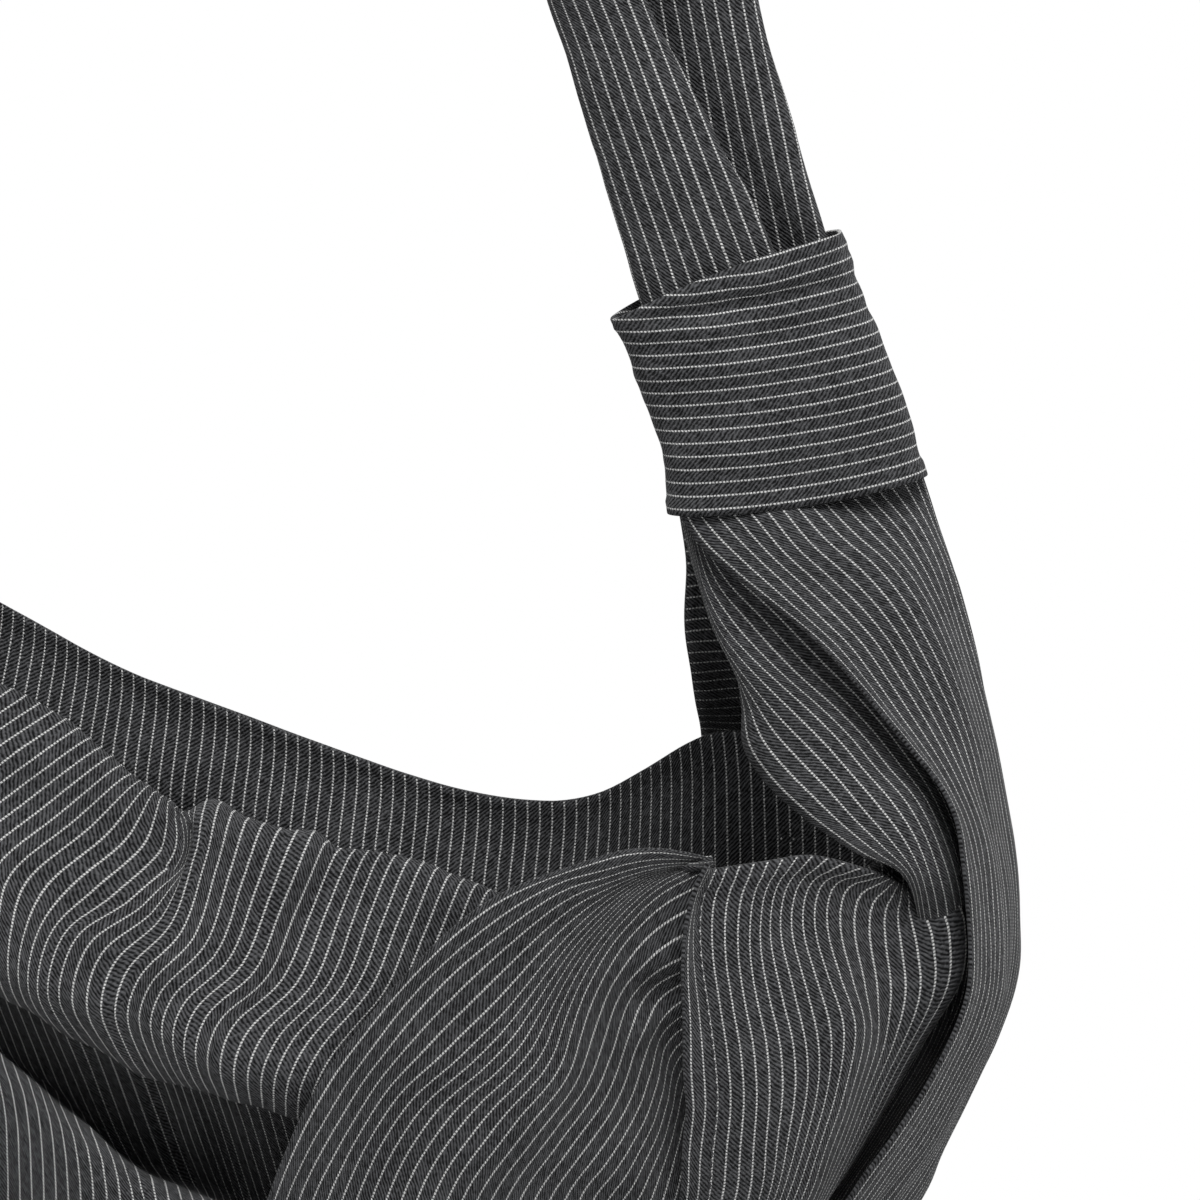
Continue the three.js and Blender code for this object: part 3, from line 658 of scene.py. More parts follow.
def shoulder_net():
    """Net of the shoulder, which turns round its outer edge onto the back of the bag."""
    edge = resampled(np.array(SHOULDER_LINES[-1], float), LINE_PLACES)
    last = len(SHOULDER_LINES) - 1
    lines = list(SHOULDER_LINES)
    depths = {0: SHOULDER_DEPTHS, last: SHOULDER_EDGE_DEPTHS}
    for number, (shifts, turned) in enumerate(SHOULDER_TURNS, start=last + 1):
        lines.append(edge - np.outer(stops(shifts, np.linspace(0, 1, LINE_PLACES)), (1, 0)))
        depths[number] = turned
    return side_net(lines, depths, SHOULDER_SWELL)


def front_net():
    """Net of the front panel, with its rim turned over, its sides on the seams and its foot on the base."""
    depths = np.array(FRONT_DEPTHS, float)[..., None]
    places = np.concatenate([np.array(FRONT_LINES, float), depths], axis=-1)
    share = np.clip(-places[:, :1, 2:] / RIM_TURN_FULL, 0, 1)
    turned = places[:, :1] + share * RIM_TURN + (1 - share) * SEAM_TURN
    net = photo_points(np.concatenate([turned, places], axis=1))
    for line, side in ((0, -1), (-1, 1)):
        net[line, :, 0] = side * side_reach((net[line, :, 2] - BASE_LEVEL) / MM) * MM
    foot = net[:, -1]
    out = np.linalg.norm(foot[:, :2] / (BASE_HALF_WIDTH * MM, BASE_HALF_DEPTH * MM), axis=1)
    foot[:, :2] /= out[:, None]
    foot[:, 2] = BASE_LEVEL + PANEL_FOOT * MM
    return net


# Body form


def swell_out(base, belly, height, belly_height, round_radius):
    """Half size of the body at a height."""
    below = base + (belly - base) * np.sqrt(np.maximum(1 - (1 - height / belly_height) ** 2, 0))
    above = belly - (height - belly_height) ** 2 / (2 * round_radius)
    return np.where(height < belly_height, below, above)


def side_reach(height):
    """Half width of the body at a height."""
    wide = swell_out(BASE_HALF_WIDTH, BELLY_HALF_WIDTH, height, WIDEST_HEIGHT, SIDE_ROUND_RADIUS)
    return wide - np.interp(height, *np.array(SIDE_TRIM).T)


def back_reach(height):
    """Half depth of the body at a height."""
    return swell_out(BASE_HALF_DEPTH, BELLY_HALF_DEPTH, height, DEEPEST_HEIGHT, MOUTH_ROUND_RADIUS)


def lie_on_back(cloth):
    """Draws the foot of a cloth onto the outside of the back panel."""
    x = cloth.points[..., 0] / MM
    height = (cloth.points[..., 2] - BASE_LEVEL) / MM
    share = np.clip(np.abs(x) / side_reach(height), 0, 1)
    below = stops(BACK_RIM, x.ravel()).reshape(x.shape) - height
    round_side = 1 - share ** 2
    lean = (1 - ease(below, 0, LEAN_DEPTH)) * round_side * RIM_LEAN[1]
    side_gap = LIE_SIDE_GAP * ease(share, *LIE_SIDE)
    depth = back_reach(height) * np.sqrt(round_side) + lean + LIE_GAP + side_gap
    points = cloth.points.copy()
    points[..., 1] += ease(below, *LIE_START) * (depth * MM - points[..., 1])
    return Cloth(points, cloth.across, cloth.along)


def back_cloth(top, foot, inset):
    """Cloth on the back of the body between two heights, each a table across the bag or a number."""
    cell = bpy.context.scene.bag_cloth.cell / MM
    columns = int(BACK_COLUMNS * BELLY_HALF_WIDTH / cell)
    angle = -np.linspace(-math.pi / 2, math.pi / 2, columns + 1)[None, :]
    across = BELLY_HALF_WIDTH * np.sin(angle)
    edges = [
        stops(edge, across.ravel())[None, :] if np.ndim(edge) else np.full(angle.shape, float(edge))
        for edge in (top, foot)
    ]
    rows = int((edges[0] - edges[1]).max() / cell)
    down = np.linspace(0, 1, rows + 1)[:, None]
    height = edges[0] + (edges[1] - edges[0]) * down
    wide = (side_reach(height) - inset) * np.sin(angle)
    deep = (back_reach(height) - inset) * np.cos(angle)
    points = np.stack([wide, deep, height], axis=-1) * MM + (0, 0, BASE_LEVEL)
    lean = 1 - ease(stops(BACK_RIM, across.ravel())[None, :] - height, 0, LEAN_DEPTH)
    points += (lean * np.cos(angle) ** 2)[..., None] * np.array(RIM_LEAN) * MM
    # The width is measured a third of the way down, and the length in the middle.
    width = run_lengths(points[rows // 3])
    length = run_lengths(points[:, columns // 2])
    return Cloth(points, width, length)


# Materials


class Wire:
    """A shader output that takes part in sums as a number does."""

    def __init__(self, shader, node, key):
        self.shader = shader
        self.node = node
        self.socket = node.outputs[key]

    def other(self, key):
        return Wire(self.shader, self.node, key)

    def math(self, operation, *values):
        return self.shader.add("ShaderNodeMath", {"operation": operation}, dict(enumerate(values)))

    def __add__(self, value):
        return self.math("ADD", self, value)

    __radd__ = __add__

    def __mul__(self, value):
        return self.math("MULTIPLY", self, value)

    __rmul__ = __mul__

    def __sub__(self, value):
        return self.math("SUBTRACT", self, value)

    def __truediv__(self, value):
        return self.math("DIVIDE", self, value)

    def __abs__(self):
        return self.math("ABSOLUTE", self)

    def fraction(self):
        return self.math("FRACT", self)

    def ridge(self, pitch):
        """0 at the middle of each repeat, rising to 0.5 at its ends."""
        return abs((self / pitch).fraction() - HALF_REPEAT)


class Shader:
    """A node tree under construction."""

    def __init__(self, tree):
        self.tree = tree
        tree.nodes.clear()

    def add(self, kind, settings=None, inputs=None, output=0):
        """Adds a node, sets its settings first and then its sockets, and gives one of its outputs."""
        node = self.tree.nodes.new(kind)
        for name, value in (settings or {}).items():
            setattr(node, name, value)
        for key, value in (inputs or {}).items():
            if isinstance(value, Wire):
                self.tree.links.new(value.socket, node.inputs[key])
            else:
                node.inputs[key].default_value = value
        return Wire(self, node, output) if node.outputs else node

    def fade(self, value, start, end, first, last):
        """Smooth change from first at start to last at end."""
        limits = {"Value": value, "From Min": start, "From Max": end, "To Min": first, "To Max": last}
        return self.add("ShaderNodeMapRange", {"interpolation_type": "SMOOTHSTEP"}, limits)

    def blend(self, factor, first, second):
        """Mix of two colours."""
        inputs = {MIX_FACTOR: factor, MIX_FIRST: first, MIX_SECOND: second}
        return self.add("ShaderNodeMix", {"data_type": "RGBA"}, inputs, MIX_COLOUR)

    def noise(self, place, scale, detail):
        return self.add("ShaderNodeTexNoise", None, {"Vector": place, "Scale": scale, "Detail": detail})

    def cloth_place(self):
        """Place on the cloth map, and its part across the stripes."""
        place = self.add("ShaderNodeUVMap", {"uv_map": "cloth"})
        return place, self.add("ShaderNodeSeparateXYZ", None, {"Vector": place})

    def cloth_surface(self, colour, unevenness, height, finish):
        """Matte cloth surface with a fine relief."""
        roughness, uneven, sheen = finish
        roughness = roughness + uneven * unevenness
        relief = {"Strength": BUMP_STRENGTH, "Distance": WEAVE_RELIEF, "Height": height}
        bump = self.add("ShaderNodeBump", None, relief)
        surface = self.add("ShaderNodeBsdfPrincipled", None, {
            "Base Color": colour,
            "Roughness": roughness,
            "Normal": bump,
            "Specular IOR Level": SPECULAR,
            "Sheen Weight": sheen,
            "Sheen Roughness": SHEEN_ROUGHNESS,
        })
        self.add("ShaderNodeOutputMaterial", None, {"Surface": surface})


def new_material(name):
    material = bpy.data.materials.new(name)
    material.use_nodes = True
    return material, Shader(material.node_tree)


def opaque(colour):
    return (*colour, 1.0)


def suiting(shader):
    """Charcoal twill with fine dotted pinstripes."""
    cloth = bpy.context.scene.bag_cloth
    place, u = shader.cloth_place()
    v = u.other("Y")
    fuzz = shader.noise(place, FUZZ_SCALE, FINE_DETAIL)
    wear = shader.noise(place, WEAR_SCALE, COARSE_DETAIL)
    slub = shader.noise(place, SLUB_SCALE, COARSE_DETAIL)
    drift = (fuzz - NOISE_MIDDLE) * (cloth.stripe_width * STRIPE_DRIFT)
    gap = (u + drift).ridge(cloth.stripe_pitch) * cloth.stripe_pitch
    edge = [cloth.stripe_width * share for share in STRIPE_EDGE]
    line = shader.fade(gap, *edge, 1.0, 0.0)
    dots = shader.fade(v.ridge(cloth.dot_pitch), *DOT_EDGE, 1.0, DOT_GAP)
    stripe = line * dots * (STRIPE_LEAST + STRIPE_WEAR * wear)
    slant = v - u + (slub - NOISE_MIDDLE) * cloth.wale
    ribs = shader.fade(slant.ridge(cloth.wale), *RIB_EDGE, 0.0, 1.0)
    tone = ribs * RIB_TONE + (fuzz - NOISE_MIDDLE) * FUZZ_TONE + (slub - NOISE_MIDDLE) * SLUB_TONE
    tone = tone + (wear - NOISE_MIDDLE) * WEAR_TONE + GROUND_TONE
    ground = shader.blend(tone, opaque(cloth.ground_dark), opaque(cloth.ground_light))
    colour = shader.blend(stripe, ground, opaque(cloth.stripe_colour))
    height = ribs * RIB_RELIEF + fuzz * FUZZ_RELIEF + slub * SLUB_RELIEF + stripe * STRIPE_RELIEF
    shader.cloth_surface(colour, fuzz, height, SUITING_FINISH)


def lining(shader):
    """Plain smooth lining with a fine weave."""
    cloth = bpy.context.scene.bag_cloth
    place, u = shader.cloth_place()
    weave = u.ridge(LINING_YARN) * u.other("Y").ridge(LINING_YARN) * RIDGE_FULL ** 2
    wear = shader.noise(place, WEAR_SCALE, FINE_DETAIL)
    dark = opaque([value * LINING_SHADE for value in cloth.lining_colour])
    tone = weave * LINING_TONE + wear * LINING_TONE
    colour = shader.blend(tone, dark, opaque(cloth.lining_colour))
    shader.cloth_surface(colour, wear, weave, LINING_FINISH)


def sewing_thread(shader):
    """Twisted dark thread."""
    place = shader.add("ShaderNodeTexCoord", output="Object")
    x = shader.add("ShaderNodeSeparateXYZ", None, {"Vector": place})
    twist = (x + x.other("Z")).ridge(THREAD_TWIST) * RIDGE_FULL
    colour = shader.blend(twist, opaque(THREAD_DARK), opaque(THREAD_LIGHT))
    shader.cloth_surface(colour, twist, twist, THREAD_FINISH)


MATERIALS = {
    "suiting": ("pinstripe_suiting", suiting),
    "lining": ("lining_cloth", lining),
    "thread": ("sewing_thread", sewing_thread),
}


def cover(piece, slot):
    """Gives a piece the material of a slot, which is made when it is first asked for."""
    name, make = MATERIALS[slot]
    material = bpy.data.materials.get(name)
    if not material:
        material, shader = new_material(name)
        make(shader)
    piece.data.materials.append(material)


# Settings


class ClothSettings(bpy.types.PropertyGroup):
    """Suiting, lining and mesh of the cloth pieces."""

    stripe_pitch: bpy.props.FloatProperty(
        name="Stripe pitch", description="From one pinstripe to the next", default=0.0037, unit="LENGTH")
    stripe_width: bpy.props.FloatProperty(
        name="Stripe width", description="Width of a pinstripe", default=0.00048, unit="LENGTH")
    dot_pitch: bpy.props.FloatProperty(
        name="Dot pitch", description="From one dot of a stripe to the next", default=0.00095, unit="LENGTH")
    wale: bpy.props.FloatProperty(
        name="Twill wale", description="From one diagonal rib to the next", default=0.0013, unit="LENGTH")
    thickness: bpy.props.FloatProperty(
        name="Thickness", description="Thickness of one layer of cloth", default=0.0011, unit="LENGTH")
    cell: bpy.props.FloatProperty(
        name="Mesh cell", description="Usual size of a mesh face", default=0.0024, unit="LENGTH")
    ground_dark: bpy.props.FloatVectorProperty(
        name="Ground shade", description="Darker yarn of the twill", default=(0.004, 0.0041, 0.0045),
        subtype="COLOR", size=3)
    ground_light: bpy.props.FloatVectorProperty(
        name="Ground light", description="Lighter yarn of the twill", default=(0.085, 0.086, 0.09),
        subtype="COLOR", size=3)
    stripe_colour: bpy.props.FloatVectorProperty(
        name="Stripe colour", description="Yarn of the pinstripes", default=(0.62, 0.62, 0.61),
        subtype="COLOR", size=3)
    lining_colour: bpy.props.FloatVectorProperty(
        name="Lining colour", description="Smooth cloth of the lining", default=(0.03, 0.03, 0.033),
        subtype="COLOR", size=3)


class ViewSettings(bpy.types.PropertyGroup):
    """Camera and light."""

    distance: bpy.props.FloatProperty(
        name="Distance", description="From the camera to the middle of the bag", default=1.5, unit="LENGTH")
    elevation: bpy.props.FloatProperty(
        name="Elevation", description="How far the camera looks down", default=math.radians(9),
        subtype="ANGLE")
    width: bpy.props.FloatProperty(
        name="Picture width", description="Width that the picture takes in", default=1 / 3, unit="LENGTH")
    aim_x: bpy.props.FloatProperty(
        name="Aim across", description="Middle of the picture, across the bag", default=0.1278, unit="LENGTH")
    aim_height: bpy.props.FloatProperty(
        name="Aim height", description="Middle of the picture, above the base", default=0.257, unit="LENGTH")
    key_power: bpy.props.FloatProperty(
        name="Key light", description="Soft light from the upper right", default=37.0, unit="POWER")
    fill_power: bpy.props.FloatProperty(
        name="Fill light", description="Soft light from the left", default=9.0, unit="POWER")
    rim_power: bpy.props.FloatProperty(
        name="Rim light", description="Light past the right edge", default=9.0, unit="POWER")
    back_power: bpy.props.FloatProperty(
        name="Back light", description="Soft light on the back of the bag", default=12.0, unit="POWER")
    sky: bpy.props.FloatProperty(
        name="Sky light", description="Even light from all round", default=0.07, subtype="FACTOR")


# Pieces


def dress(piece, slot, body, nodes):
    """Gives a piece its material and its body, and hides the nodes that it stands for."""
    cover(piece, slot)
    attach(piece, body)
    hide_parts(*nodes)


def declare(cloth):
    """Works out the cut width, length and area of a cloth; nothing is done with them."""
    width = float(cloth.across[-1])
    length = float(cloth.along[-1])
    area = min(cloth.area(), width * length)


def make_sheet(name, cloth, slot, node):
    """A sheet of cloth on the bag, in place of a node."""
    piece = cloth_object(name, cloth)
    dress(piece, slot, "bag", [node])
    declare(cloth)


def make_oval(name, rise, share, slot, node):
    """Oval sheet over the base, as a square grid drawn in to an oval."""
    u = np.linspace(-1, 1, BASE_COLUMNS + 1)[None, :]
    v = np.linspace(-1, 1, BASE_ROWS + 1)[:, None]
    wide = share * BASE_HALF_WIDTH
    deep = share * BASE_HALF_DEPTH
    x = wide * u * np.sqrt(1 - v * v / 2)
    y = deep * v * np.sqrt(1 - u * u / 2)
    points = np.stack([x, y, np.full(x.shape, rise)], axis=-1) * MM + (0, 0, BASE_LEVEL)
    cloth = Cloth(points, (u.ravel() + 1) * wide * MM, (v.ravel() + 1) * deep * MM)
    piece = cloth_object(name, cloth)
    dress(piece, slot, "bag", [node])


def leg_x(height):
    return KEEPER_X + (KEEPER_X_HEIGHT - height) * math.tan(STRAP_LEAN)


def strap_section(fold, tuck):
    """Folded strap in section: across and through, from the hidden end behind to the outer end behind."""
    half = STRAP_HALF_WIDTH
    places = np.array((
        (-12, 4.6), (-22, 4.4), (-half + 1.2, 2.4), (-half, 0), (-half + 2.5, -3.4),
        ((fold - half) / 2 - 4, -7.4), (fold - 6, -8.6), (fold - 1, -7.4), (fold + 0.4, -5.2),
        (fold - 3, -3.4), (fold - tuck, -0.6), (fold - tuck + 2, 2.4), (fold + 5, 1.2),
        ((fold + half) / 2 + 3, -2.6), (half - 3, -2.8), (half, 0.4), (half - 2.5, 4.2),
        (half - 14, 6.2), (0, 6.8), (-16, 6.6),
    ), float)
    return resampled(places, SECTION_POINTS)


def strap_stations():
    """Centre, tilt, turn, fold place and tuck of the strap, from the right foot to the top."""
    lean = STRAP_LEAN
    foot = FOLD_HEIGHT + BAND_GAP
    arch_foot = KEEPER_X_HEIGHT + (KEEPER_X - ARCH_RADIUS * math.cos(lean)) / math.tan(lean)
    arch_centre = arch_foot - ARCH_RADIUS * math.sin(lean)
    leg_length = (arch_foot - foot) / math.cos(lean)
    stations = []
    for height in np.arange(STRAP_FOOT, arch_foot, STRAP_STEP):
        along = (height - foot) / math.cos(lean)
        tilt = lean * float(ease(along, 0, TWIST_START))
        turn = math.pi / 2 * float(ease(along, TWIST_START, leg_length))
        fold = float(np.interp(height, *FOLD_PLACES))
        tuck = float(np.interp(height, *TUCK_DEPTHS))
        stations.append(((leg_x(height), 0, height), tilt, turn, fold, tuck))
    arch_steps = int(ARCH_RADIUS * (math.pi / 2 - lean) / STRAP_STEP)
    for angle in np.linspace(lean, math.pi / 2, arch_steps + 1):
        centre = (ARCH_RADIUS * math.cos(angle), 0, arch_centre + ARCH_RADIUS * math.sin(angle))
        stations.append((centre, angle, math.pi / 2, FOLD_PLACES[1][-1], TUCK_DEPTHS[1][-1]))
    return stations


def strap_cloth():
    """The whole strap from the left foot over the top to the right foot."""
    depth = np.array((0, 1, 0))
    rows = []
    for centre, tilt, turn, fold, tuck in strap_stations():
        outward = np.array((math.cos(tilt), 0, math.sin(tilt)))
        across = outward * math.cos(turn) + depth * math.sin(turn)
        through = depth * math.cos(turn) - outward * math.sin(turn)
        section = strap_section(fold, tuck)
        rows.append(np.array(centre) + section[:, :1] * across + section[:, 1:] * through)
    right = np.array(rows) * MM + (0, 0, BASE_LEVEL)
    left = right * (-1, 1, 1)
    points = np.concatenate([left, right[-2::-1]])
    # The width is measured half way up the left leg, and the length in the middle.
    width = run_lengths(points[len(points) // 4])
    length = run_lengths(points[:, SECTION_POINTS // 2])
    return Cloth(points, width, length).wrinkled(*STRAP_WRINKLES)


class BAG_OT_strap(bpy.types.Operator):
    """Make the folded strap."""

    bl_idname = "bag.strap"
    bl_label = "Strap"

    def execute(self, context):
        cloth = strap_cloth()
        piece = cloth_object("strap_cloth", cloth, even=True)
        cover(piece, "suiting")
        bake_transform(piece)
        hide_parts("strap_band", "strap_interlining", "strap_tail_right", "strap_tail_left")
        declare(cloth)
        return {"FINISHED"}


def keeper_cloth():
    """Cuff round the strap, with its stripes running round it."""
    shares = np.linspace(0, 1, KEEPER_ROWS + 1)
    edges = []
    for edge in (KEEPER_LEFT_EDGE, KEEPER_RIGHT_EDGE):
        flat = np.column_stack([np.array(edge, float), np.zeros(len(edge))])
        edges.append(resampled(photo_points(flat), KEEPER_ROWS + 1))
    left, right = edges
    turn = np.linspace(0, 2 * math.pi, KEEPER_COLUMNS + 1)[None, :] + math.pi / 2
    sideways = np.sign(np.cos(turn)) * np.abs(np.cos(turn)) ** KEEPER_SQUARENESS
    through = np.sign(np.sin(turn)) * np.abs(np.sin(turn)) ** KEEPER_SQUARENESS
    middle = (left + right) / 2
    points = middle[:, None] + sideways[..., None] * (right - left)[:, None] / 2
    bow = (KEEPER_TOP_BOW * (1 - shares) ** 2 - KEEPER_BOTTOM_BOW * shares ** 2)[:, None]
    points[..., 1] += through * KEEPER_HALF_DEPTH * MM
    points[..., 2] += bow * MM * (1 - sideways ** 2)
    height = run_lengths(middle)
    girth = run_lengths(points[KEEPER_ROWS // 2])
    cloth = Cloth(points, girth, height).wrinkled(*KEEPER_WRINKLES)
    return cloth.creased(KEEPER_CREASES).hemmed(*KEEPER_HEM)


class BAG_OT_keepers(bpy.types.Operator):
    """Make the two cuffs."""

    bl_idname = "bag.keepers"
    bl_label = "Cuffs"

    def execute(self, context):
        right = keeper_cloth()
        left = Cloth(right.points * (-1, 1, 1), right.across, right.along)
        for word, cloth in (("right", right), ("left", left)):
            piece = cloth_object(f"keeper_{word}_cuff", cloth, closed=True, flip=word == "left")
            dress(piece, "suiting", f"keeper_{word}", [f"keeper_{word}"])
            declare(cloth)
        return {"FINISHED"}


def looseness(cloth):
    """How freely each row of a panel wrinkles: not at all at its foot."""
    return ease(cloth.along[-1] - cloth.along, 0, FOOT_HOLD)[:, None]


class BAG_OT_panels(bpy.types.Operator):
    """Make the front, back and base panels."""

    bl_idname = "bag.panels"
    bl_label = "Panels"

    def execute(self, context):
        front = Cloth.through(front_net(), FRONT_CUT)
        loose = looseness(front)
        front = front.wrinkled(*FRONT_FOLDS, loose).creased(FRONT_CREASES)
        front = front.wrinkled(*FRONT_WRINKLES, loose).hemmed(*FRONT_HEM)
        make_sheet("front_panel_cloth", front, "suiting", "front_panel")
        back = back_cloth(BACK_RIM, PANEL_FOOT, 0)
        loose = looseness(back) * np.sin(np.linspace(0, math.pi, len(back.across)))
        back = back.wrinkled(*BACK_FOLDS, loose).wrinkled(*BACK_WRINKLES, loose).hemmed(*BACK_HEM)
        make_sheet("back_panel_cloth", back, "suiting", "back_panel")
        make_oval("base_panel_cloth", BASE_RISE, BASE_SHARE, "suiting", "base_panel")
        return {"FINISHED"}


def inside_cloths():
    """Turned-in hems of the mouth and linings, each for the front and the back."""
    front = Cloth.through(front_net(), FRONT_CUT)
    rows = int(np.searchsorted(front.along, FACING_HEIGHT * MM))
    facing = Cloth(front.points[:rows], front.across, front.along[:rows])
    facing = facing.moved(-FACING_GAP * MM)
    below = slice(rows - 1, -2)
    hung = front.moved(-LINING_GAP * MM).points[below] * LINING_DRAW
    front_lining = Cloth(hung, front.across, front.along[below] - front.along[rows - 1])
    back_top = tuple((x, height + BACK_FACING_RISE) for x, height in BACK_RIM)
    back_foot = tuple((x, height - BACK_FACING_HEIGHT) for x, height in BACK_RIM)
    back_facing = back_cloth(back_top, back_foot, FACING_GAP).wrinkled(*BACK_FACING_WRINKLES)
    back_lining = back_cloth(back_foot, BACK_LINING_FOOT, BACK_LINING_GAP).wrinkled(*BACK_LINING_WRINKLES)
    return {"front": facing, "back": back_facing}, {"front": front_lining, "back": back_lining}


class BAG_OT_inside(bpy.types.Operator):
    """Make the turned-in hems and the lining."""

    bl_idname = "bag.inside"
    bl_label = "Inside"

    def execute(self, context):
        facings, linings = inside_cloths()
        for word, cloth in facings.items():
            make_sheet(f"{word}_rim_hem", cloth, "suiting", f"{word}_rim_facing")
        for word, cloth in linings.items():
            make_sheet(f"{word}_lining_cloth", cloth, "lining", f"{word}_lining")
        make_oval("base_lining_cloth", BASE_LINING_RISE, BASE_LINING_SHARE, "lining",
                  "base_lining")
        return {"FINISHED"}


def side_cloths():
    """Overlapping pieces of the right side by name."""
    nets = [
        side_net(lines, {0: first, len(lines) - 1: last}, swell)
        for lines, first, last, swell in (
            (WRAP_LINES, WRAP_DEPTHS, WRAP_LAST_DEPTHS, WRAP_SWELL),
            (PLACKET_LINES, PLACKET_DEPTHS, PLACKET_LAST_DEPTHS, PLACKET_SWELL),
            (FOLD_LINES, FOLD_DEPTHS, FOLD_LAST_DEPTHS, FOLD_SWELL),
        )
    ]
    wrap = Cloth.through(nets[0], WRAP_CUT).wrinkled(*WRAP_FOLDS).creased(WRAP_CREASES)
    placket = Cloth.through(nets[1], PLACKET_CUT).wrinkled(*PLACKET_WRINKLES)
    fold = Cloth.through(nets[2], FOLD_CUT).wrinkled(*FOLD_WRINKLES)
    shoulder = Cloth.through(shoulder_net(), SHOULDER_CUT).wrinkled(*SHOULDER_WRINKLES)
    neck_net = np.array([resampled(photo_points(line), LINE_PLACES) for line in NECK_LINES])
    neck = Cloth.through(neck_net, NECK_CUT).wrinkled(*NECK_WRINKLES)
    return {
        "wrap": wrap.wrinkled(*WRAP_WRINKLES).hemmed(*WRAP_HEM),
        "placket": placket.hemmed(*PLACKET_HEM),
        "fold": fold.risen(),
        "shoulder": shoulder.hemmed(*SHOULDER_HEM).risen(),
        "neck": neck.turned().risen().turned(),
    }


def stitches(name, cloth):
    """Row of stitches inside the hem of a piece, lying on its face."""
    inset = STITCH_INSET
    if cloth.points[0, 0, 0] < 0:
        inset = cloth.across[-1] - STITCH_INSET
    column = int(np.searchsorted(cloth.across, inset))
    line = cloth.moved(STITCH_LIFT).points[:, column]
    lengths = run_lengths(line)
    centres = np.arange(STITCH_INSET, lengths[-1] - STITCH_INSET, STITCH_PITCH)
    middle = spline_weights(lengths, centres) @ line
    ahead = spline_weights(lengths, centres + STITCH_LENGTH / 2) @ line - middle
    size = Matrix.Diagonal((STITCH_RADIUS, STITCH_RADIUS, STITCH_LENGTH / 2, 1))
    form = bmesh.new()
    for centre, direction in zip(middle, ahead):
        turn = Vector(direction).to_track_quat("Z", "Y").to_matrix().to_4x4()
        bmesh.ops.create_uvsphere(
            form, u_segments=STITCH_SIDES, v_segments=STITCH_SIDES, radius=1,
            matrix=Matrix.Translation(centre) @ turn @ size)
    mesh = bpy.data.meshes.new(name)
    form.to_mesh(mesh)
    form.free()
    return smooth_object(name, mesh)


class BAG_OT_sides(bpy.types.Operator):
    """Make the overlapping pieces of both sides."""

    bl_idname = "bag.sides"
    bl_label = "Sides"

    def execute(self, context):
        for kind, right in side_cloths().items():
            node, held = SIDE_NODES[kind]
            left = right.mirrored()
            if kind == "wrap":
                reach = ease(-left.points[..., 0], *LEFT_WRAP_REACH)
                left.points[..., 0] -= LEFT_WRAP_SHIFT * reach
                foot = 1 - ease(left.points[..., 2] - BASE_LEVEL, *LEFT_WRAP_FOOT)
                left.points[..., 1] += LEFT_WRAP_DRAW * reach * foot
            if kind == "neck":
                right = lie_on_back(right)
                left = lie_on_back(left)
            for word, cloth in (("right", right), ("left", left)):
                make_sheet(f"{word}_{kind}_cloth", cloth, "suiting", f"{word}_{node}")
                if kind == "placket":
                    thread = stitches(f"{word}_placket_thread", cloth)
                    dress(thread, "thread", "bag", [f"{word}_placket_stitching"])
        return {"FINISHED"}


# Stage


def white_seen(shader):
    """1 for rays from the camera, straight or through glass, and 0 for light on the object."""
    path = shader.add("ShaderNodeLightPath", output="Is Camera Ray")
    return path.math("MAXIMUM", path, path.other("Is Transmission Ray"))


def make_world():
    world = bpy.data.worlds.new("studio")
    world.use_nodes = True
    bpy.context.scene.world = world
    shader = Shader(world.node_tree)
    seen = white_seen(shader)
    sky = bpy.context.scene.bag_view.sky
    light = shader.add("ShaderNodeBackground", None, {"Color": opaque(SKY_COLOUR), "Strength": sky})
    white = shader.add("ShaderNodeBackground", None, {"Color": opaque(WHITE), "Strength": 1.0})
    mixed = shader.add("ShaderNodeMixShader", None, {0: seen, 1: light, 2: white})
    shader.add("ShaderNodeOutputWorld", None, {"Surface": mixed})


def make_floor():
    bpy.ops.mesh.primitive_plane_add(size=FLOOR_SIZE, location=(0, 0, BASE_LEVEL - FLOOR_DROP))
    floor = bpy.context.object
    floor.name = "floor"
    material, shader = new_material("pale_floor")
    place = shader.add("ShaderNodeTexCoord", output="Object")
    reach = shader.add("ShaderNodeVectorMath", {"operation": "LENGTH"}, {0: place}, "Value")
    far = shader.fade(reach, FLOOR_NEAR, FLOOR_FAR, 0.0, 1.0)
    paint = shader.add("ShaderNodeBsdfDiffuse", None, {"Color": opaque(FLOOR_COLOUR)})
    white = shader.add("ShaderNodeEmission", None, {"Color": opaque(WHITE), "Strength": 1.0})
    mixed = shader.add("ShaderNodeMixShader", None, {0: white_seen(shader) * far, 1: paint, 2: white})
    shader.add("ShaderNodeOutputMaterial", None, {"Surface": mixed})
    floor.data.materials.append(material)


def make_light(name, place, power, size):
    """Soft square light that faces the middle of the picture."""
    view = bpy.context.scene.bag_view
    bpy.ops.object.light_add(type="AREA", location=place)
    light = bpy.context.object
    light.name = name
    light.data.energy = power
    light.data.size = size
    aim = Vector((view.aim_x * LIGHT_AIM, 0, BASE_LEVEL + view.aim_height))
    light.rotation_euler = (aim - Vector(place)).to_track_quat("-Z", "Y").to_euler()


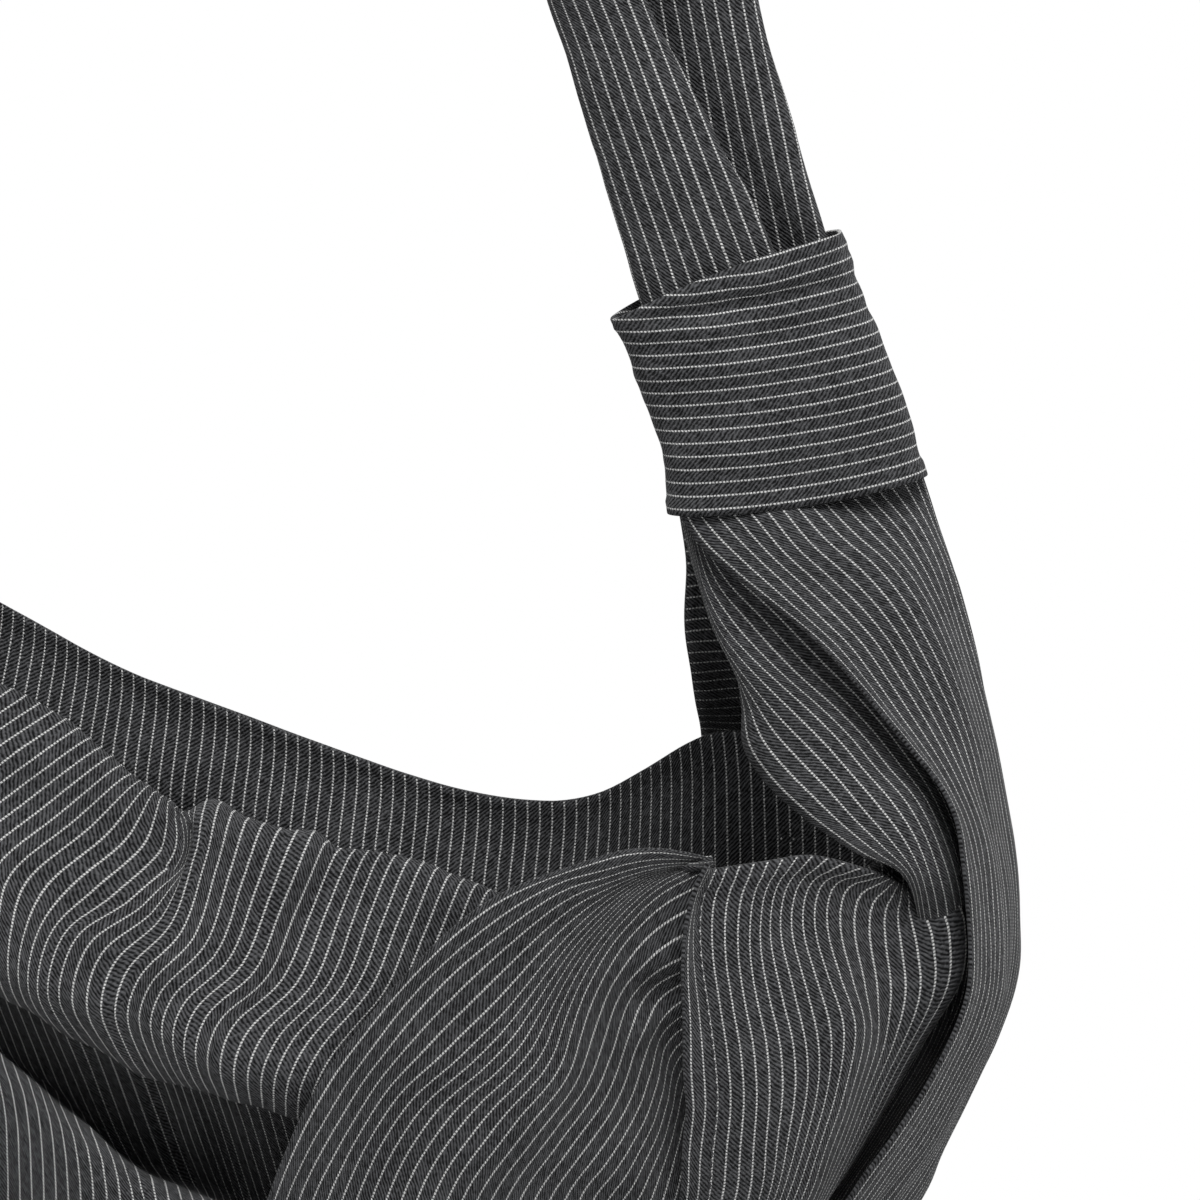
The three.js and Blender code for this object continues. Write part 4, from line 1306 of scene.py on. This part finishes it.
def make_camera():
    view = bpy.context.scene.bag_view
    away = Vector((0, -math.cos(view.elevation), math.sin(view.elevation))) * view.distance
    place = Vector((view.aim_x, 0, BASE_LEVEL + view.aim_height)) + away
    bpy.ops.object.camera_add(location=place, rotation=(math.pi / 2 - view.elevation, 0, 0))
    camera = bpy.context.object
    camera.data.sensor_width = SENSOR_WIDTH
    camera.data.lens = SENSOR_WIDTH * view.distance / view.width
    bpy.context.scene.camera = camera


class BAG_OT_stage(bpy.types.Operator):
    """Make the floor, the light and the camera."""

    bl_idname = "bag.stage"
    bl_label = "Stage"

    def execute(self, context):
        view = context.scene.bag_view
        context.scene.view_settings.view_transform = "Standard"
        make_world()
        make_floor()
        middle = BASE_LEVEL + view.aim_height
        for name, (x, y, rise), power, size in LIGHTS:
            make_light(name, (x, y, middle + rise), getattr(view, power), size)
        make_camera()
        return {"FINISHED"}


class BAG_PT_sidebar(bpy.types.Panel):
    """Settings and steps of the bag."""

    bl_label = "Knot bag"
    bl_idname = "BAG_PT_sidebar"
    bl_space_type = "VIEW_3D"
    bl_region_type = "UI"
    bl_category = "Knot bag"

    def draw(self, context):
        for settings in (context.scene.bag_cloth, context.scene.bag_view):
            box = self.layout.box()
            for name in settings.__annotations__:
                box.prop(settings, name)
        for step in STEPS:
            self.layout.operator(step.bl_idname)


STEPS = (BAG_OT_strap, BAG_OT_keepers, BAG_OT_panels, BAG_OT_inside, BAG_OT_sides, BAG_OT_stage)
CLASSES = (ClothSettings, ViewSettings, *STEPS, BAG_PT_sidebar)


def register():
    for item in CLASSES:
        bpy.utils.register_class(item)
    bpy.types.Scene.bag_cloth = bpy.props.PointerProperty(type=ClothSettings)
    bpy.types.Scene.bag_view = bpy.props.PointerProperty(type=ViewSettings)


def unregister():
    del bpy.types.Scene.bag_view
    del bpy.types.Scene.bag_cloth
    for item in reversed(CLASSES):
        bpy.utils.unregister_class(item)


def main():
    register()
    bpy.ops.bag.strap()
    bpy.ops.bag.keepers()
    bpy.ops.bag.panels()
    bpy.ops.bag.inside()
    bpy.ops.bag.sides()
    bpy.ops.bag.stage()


if __name__ == "__main__":
    main()
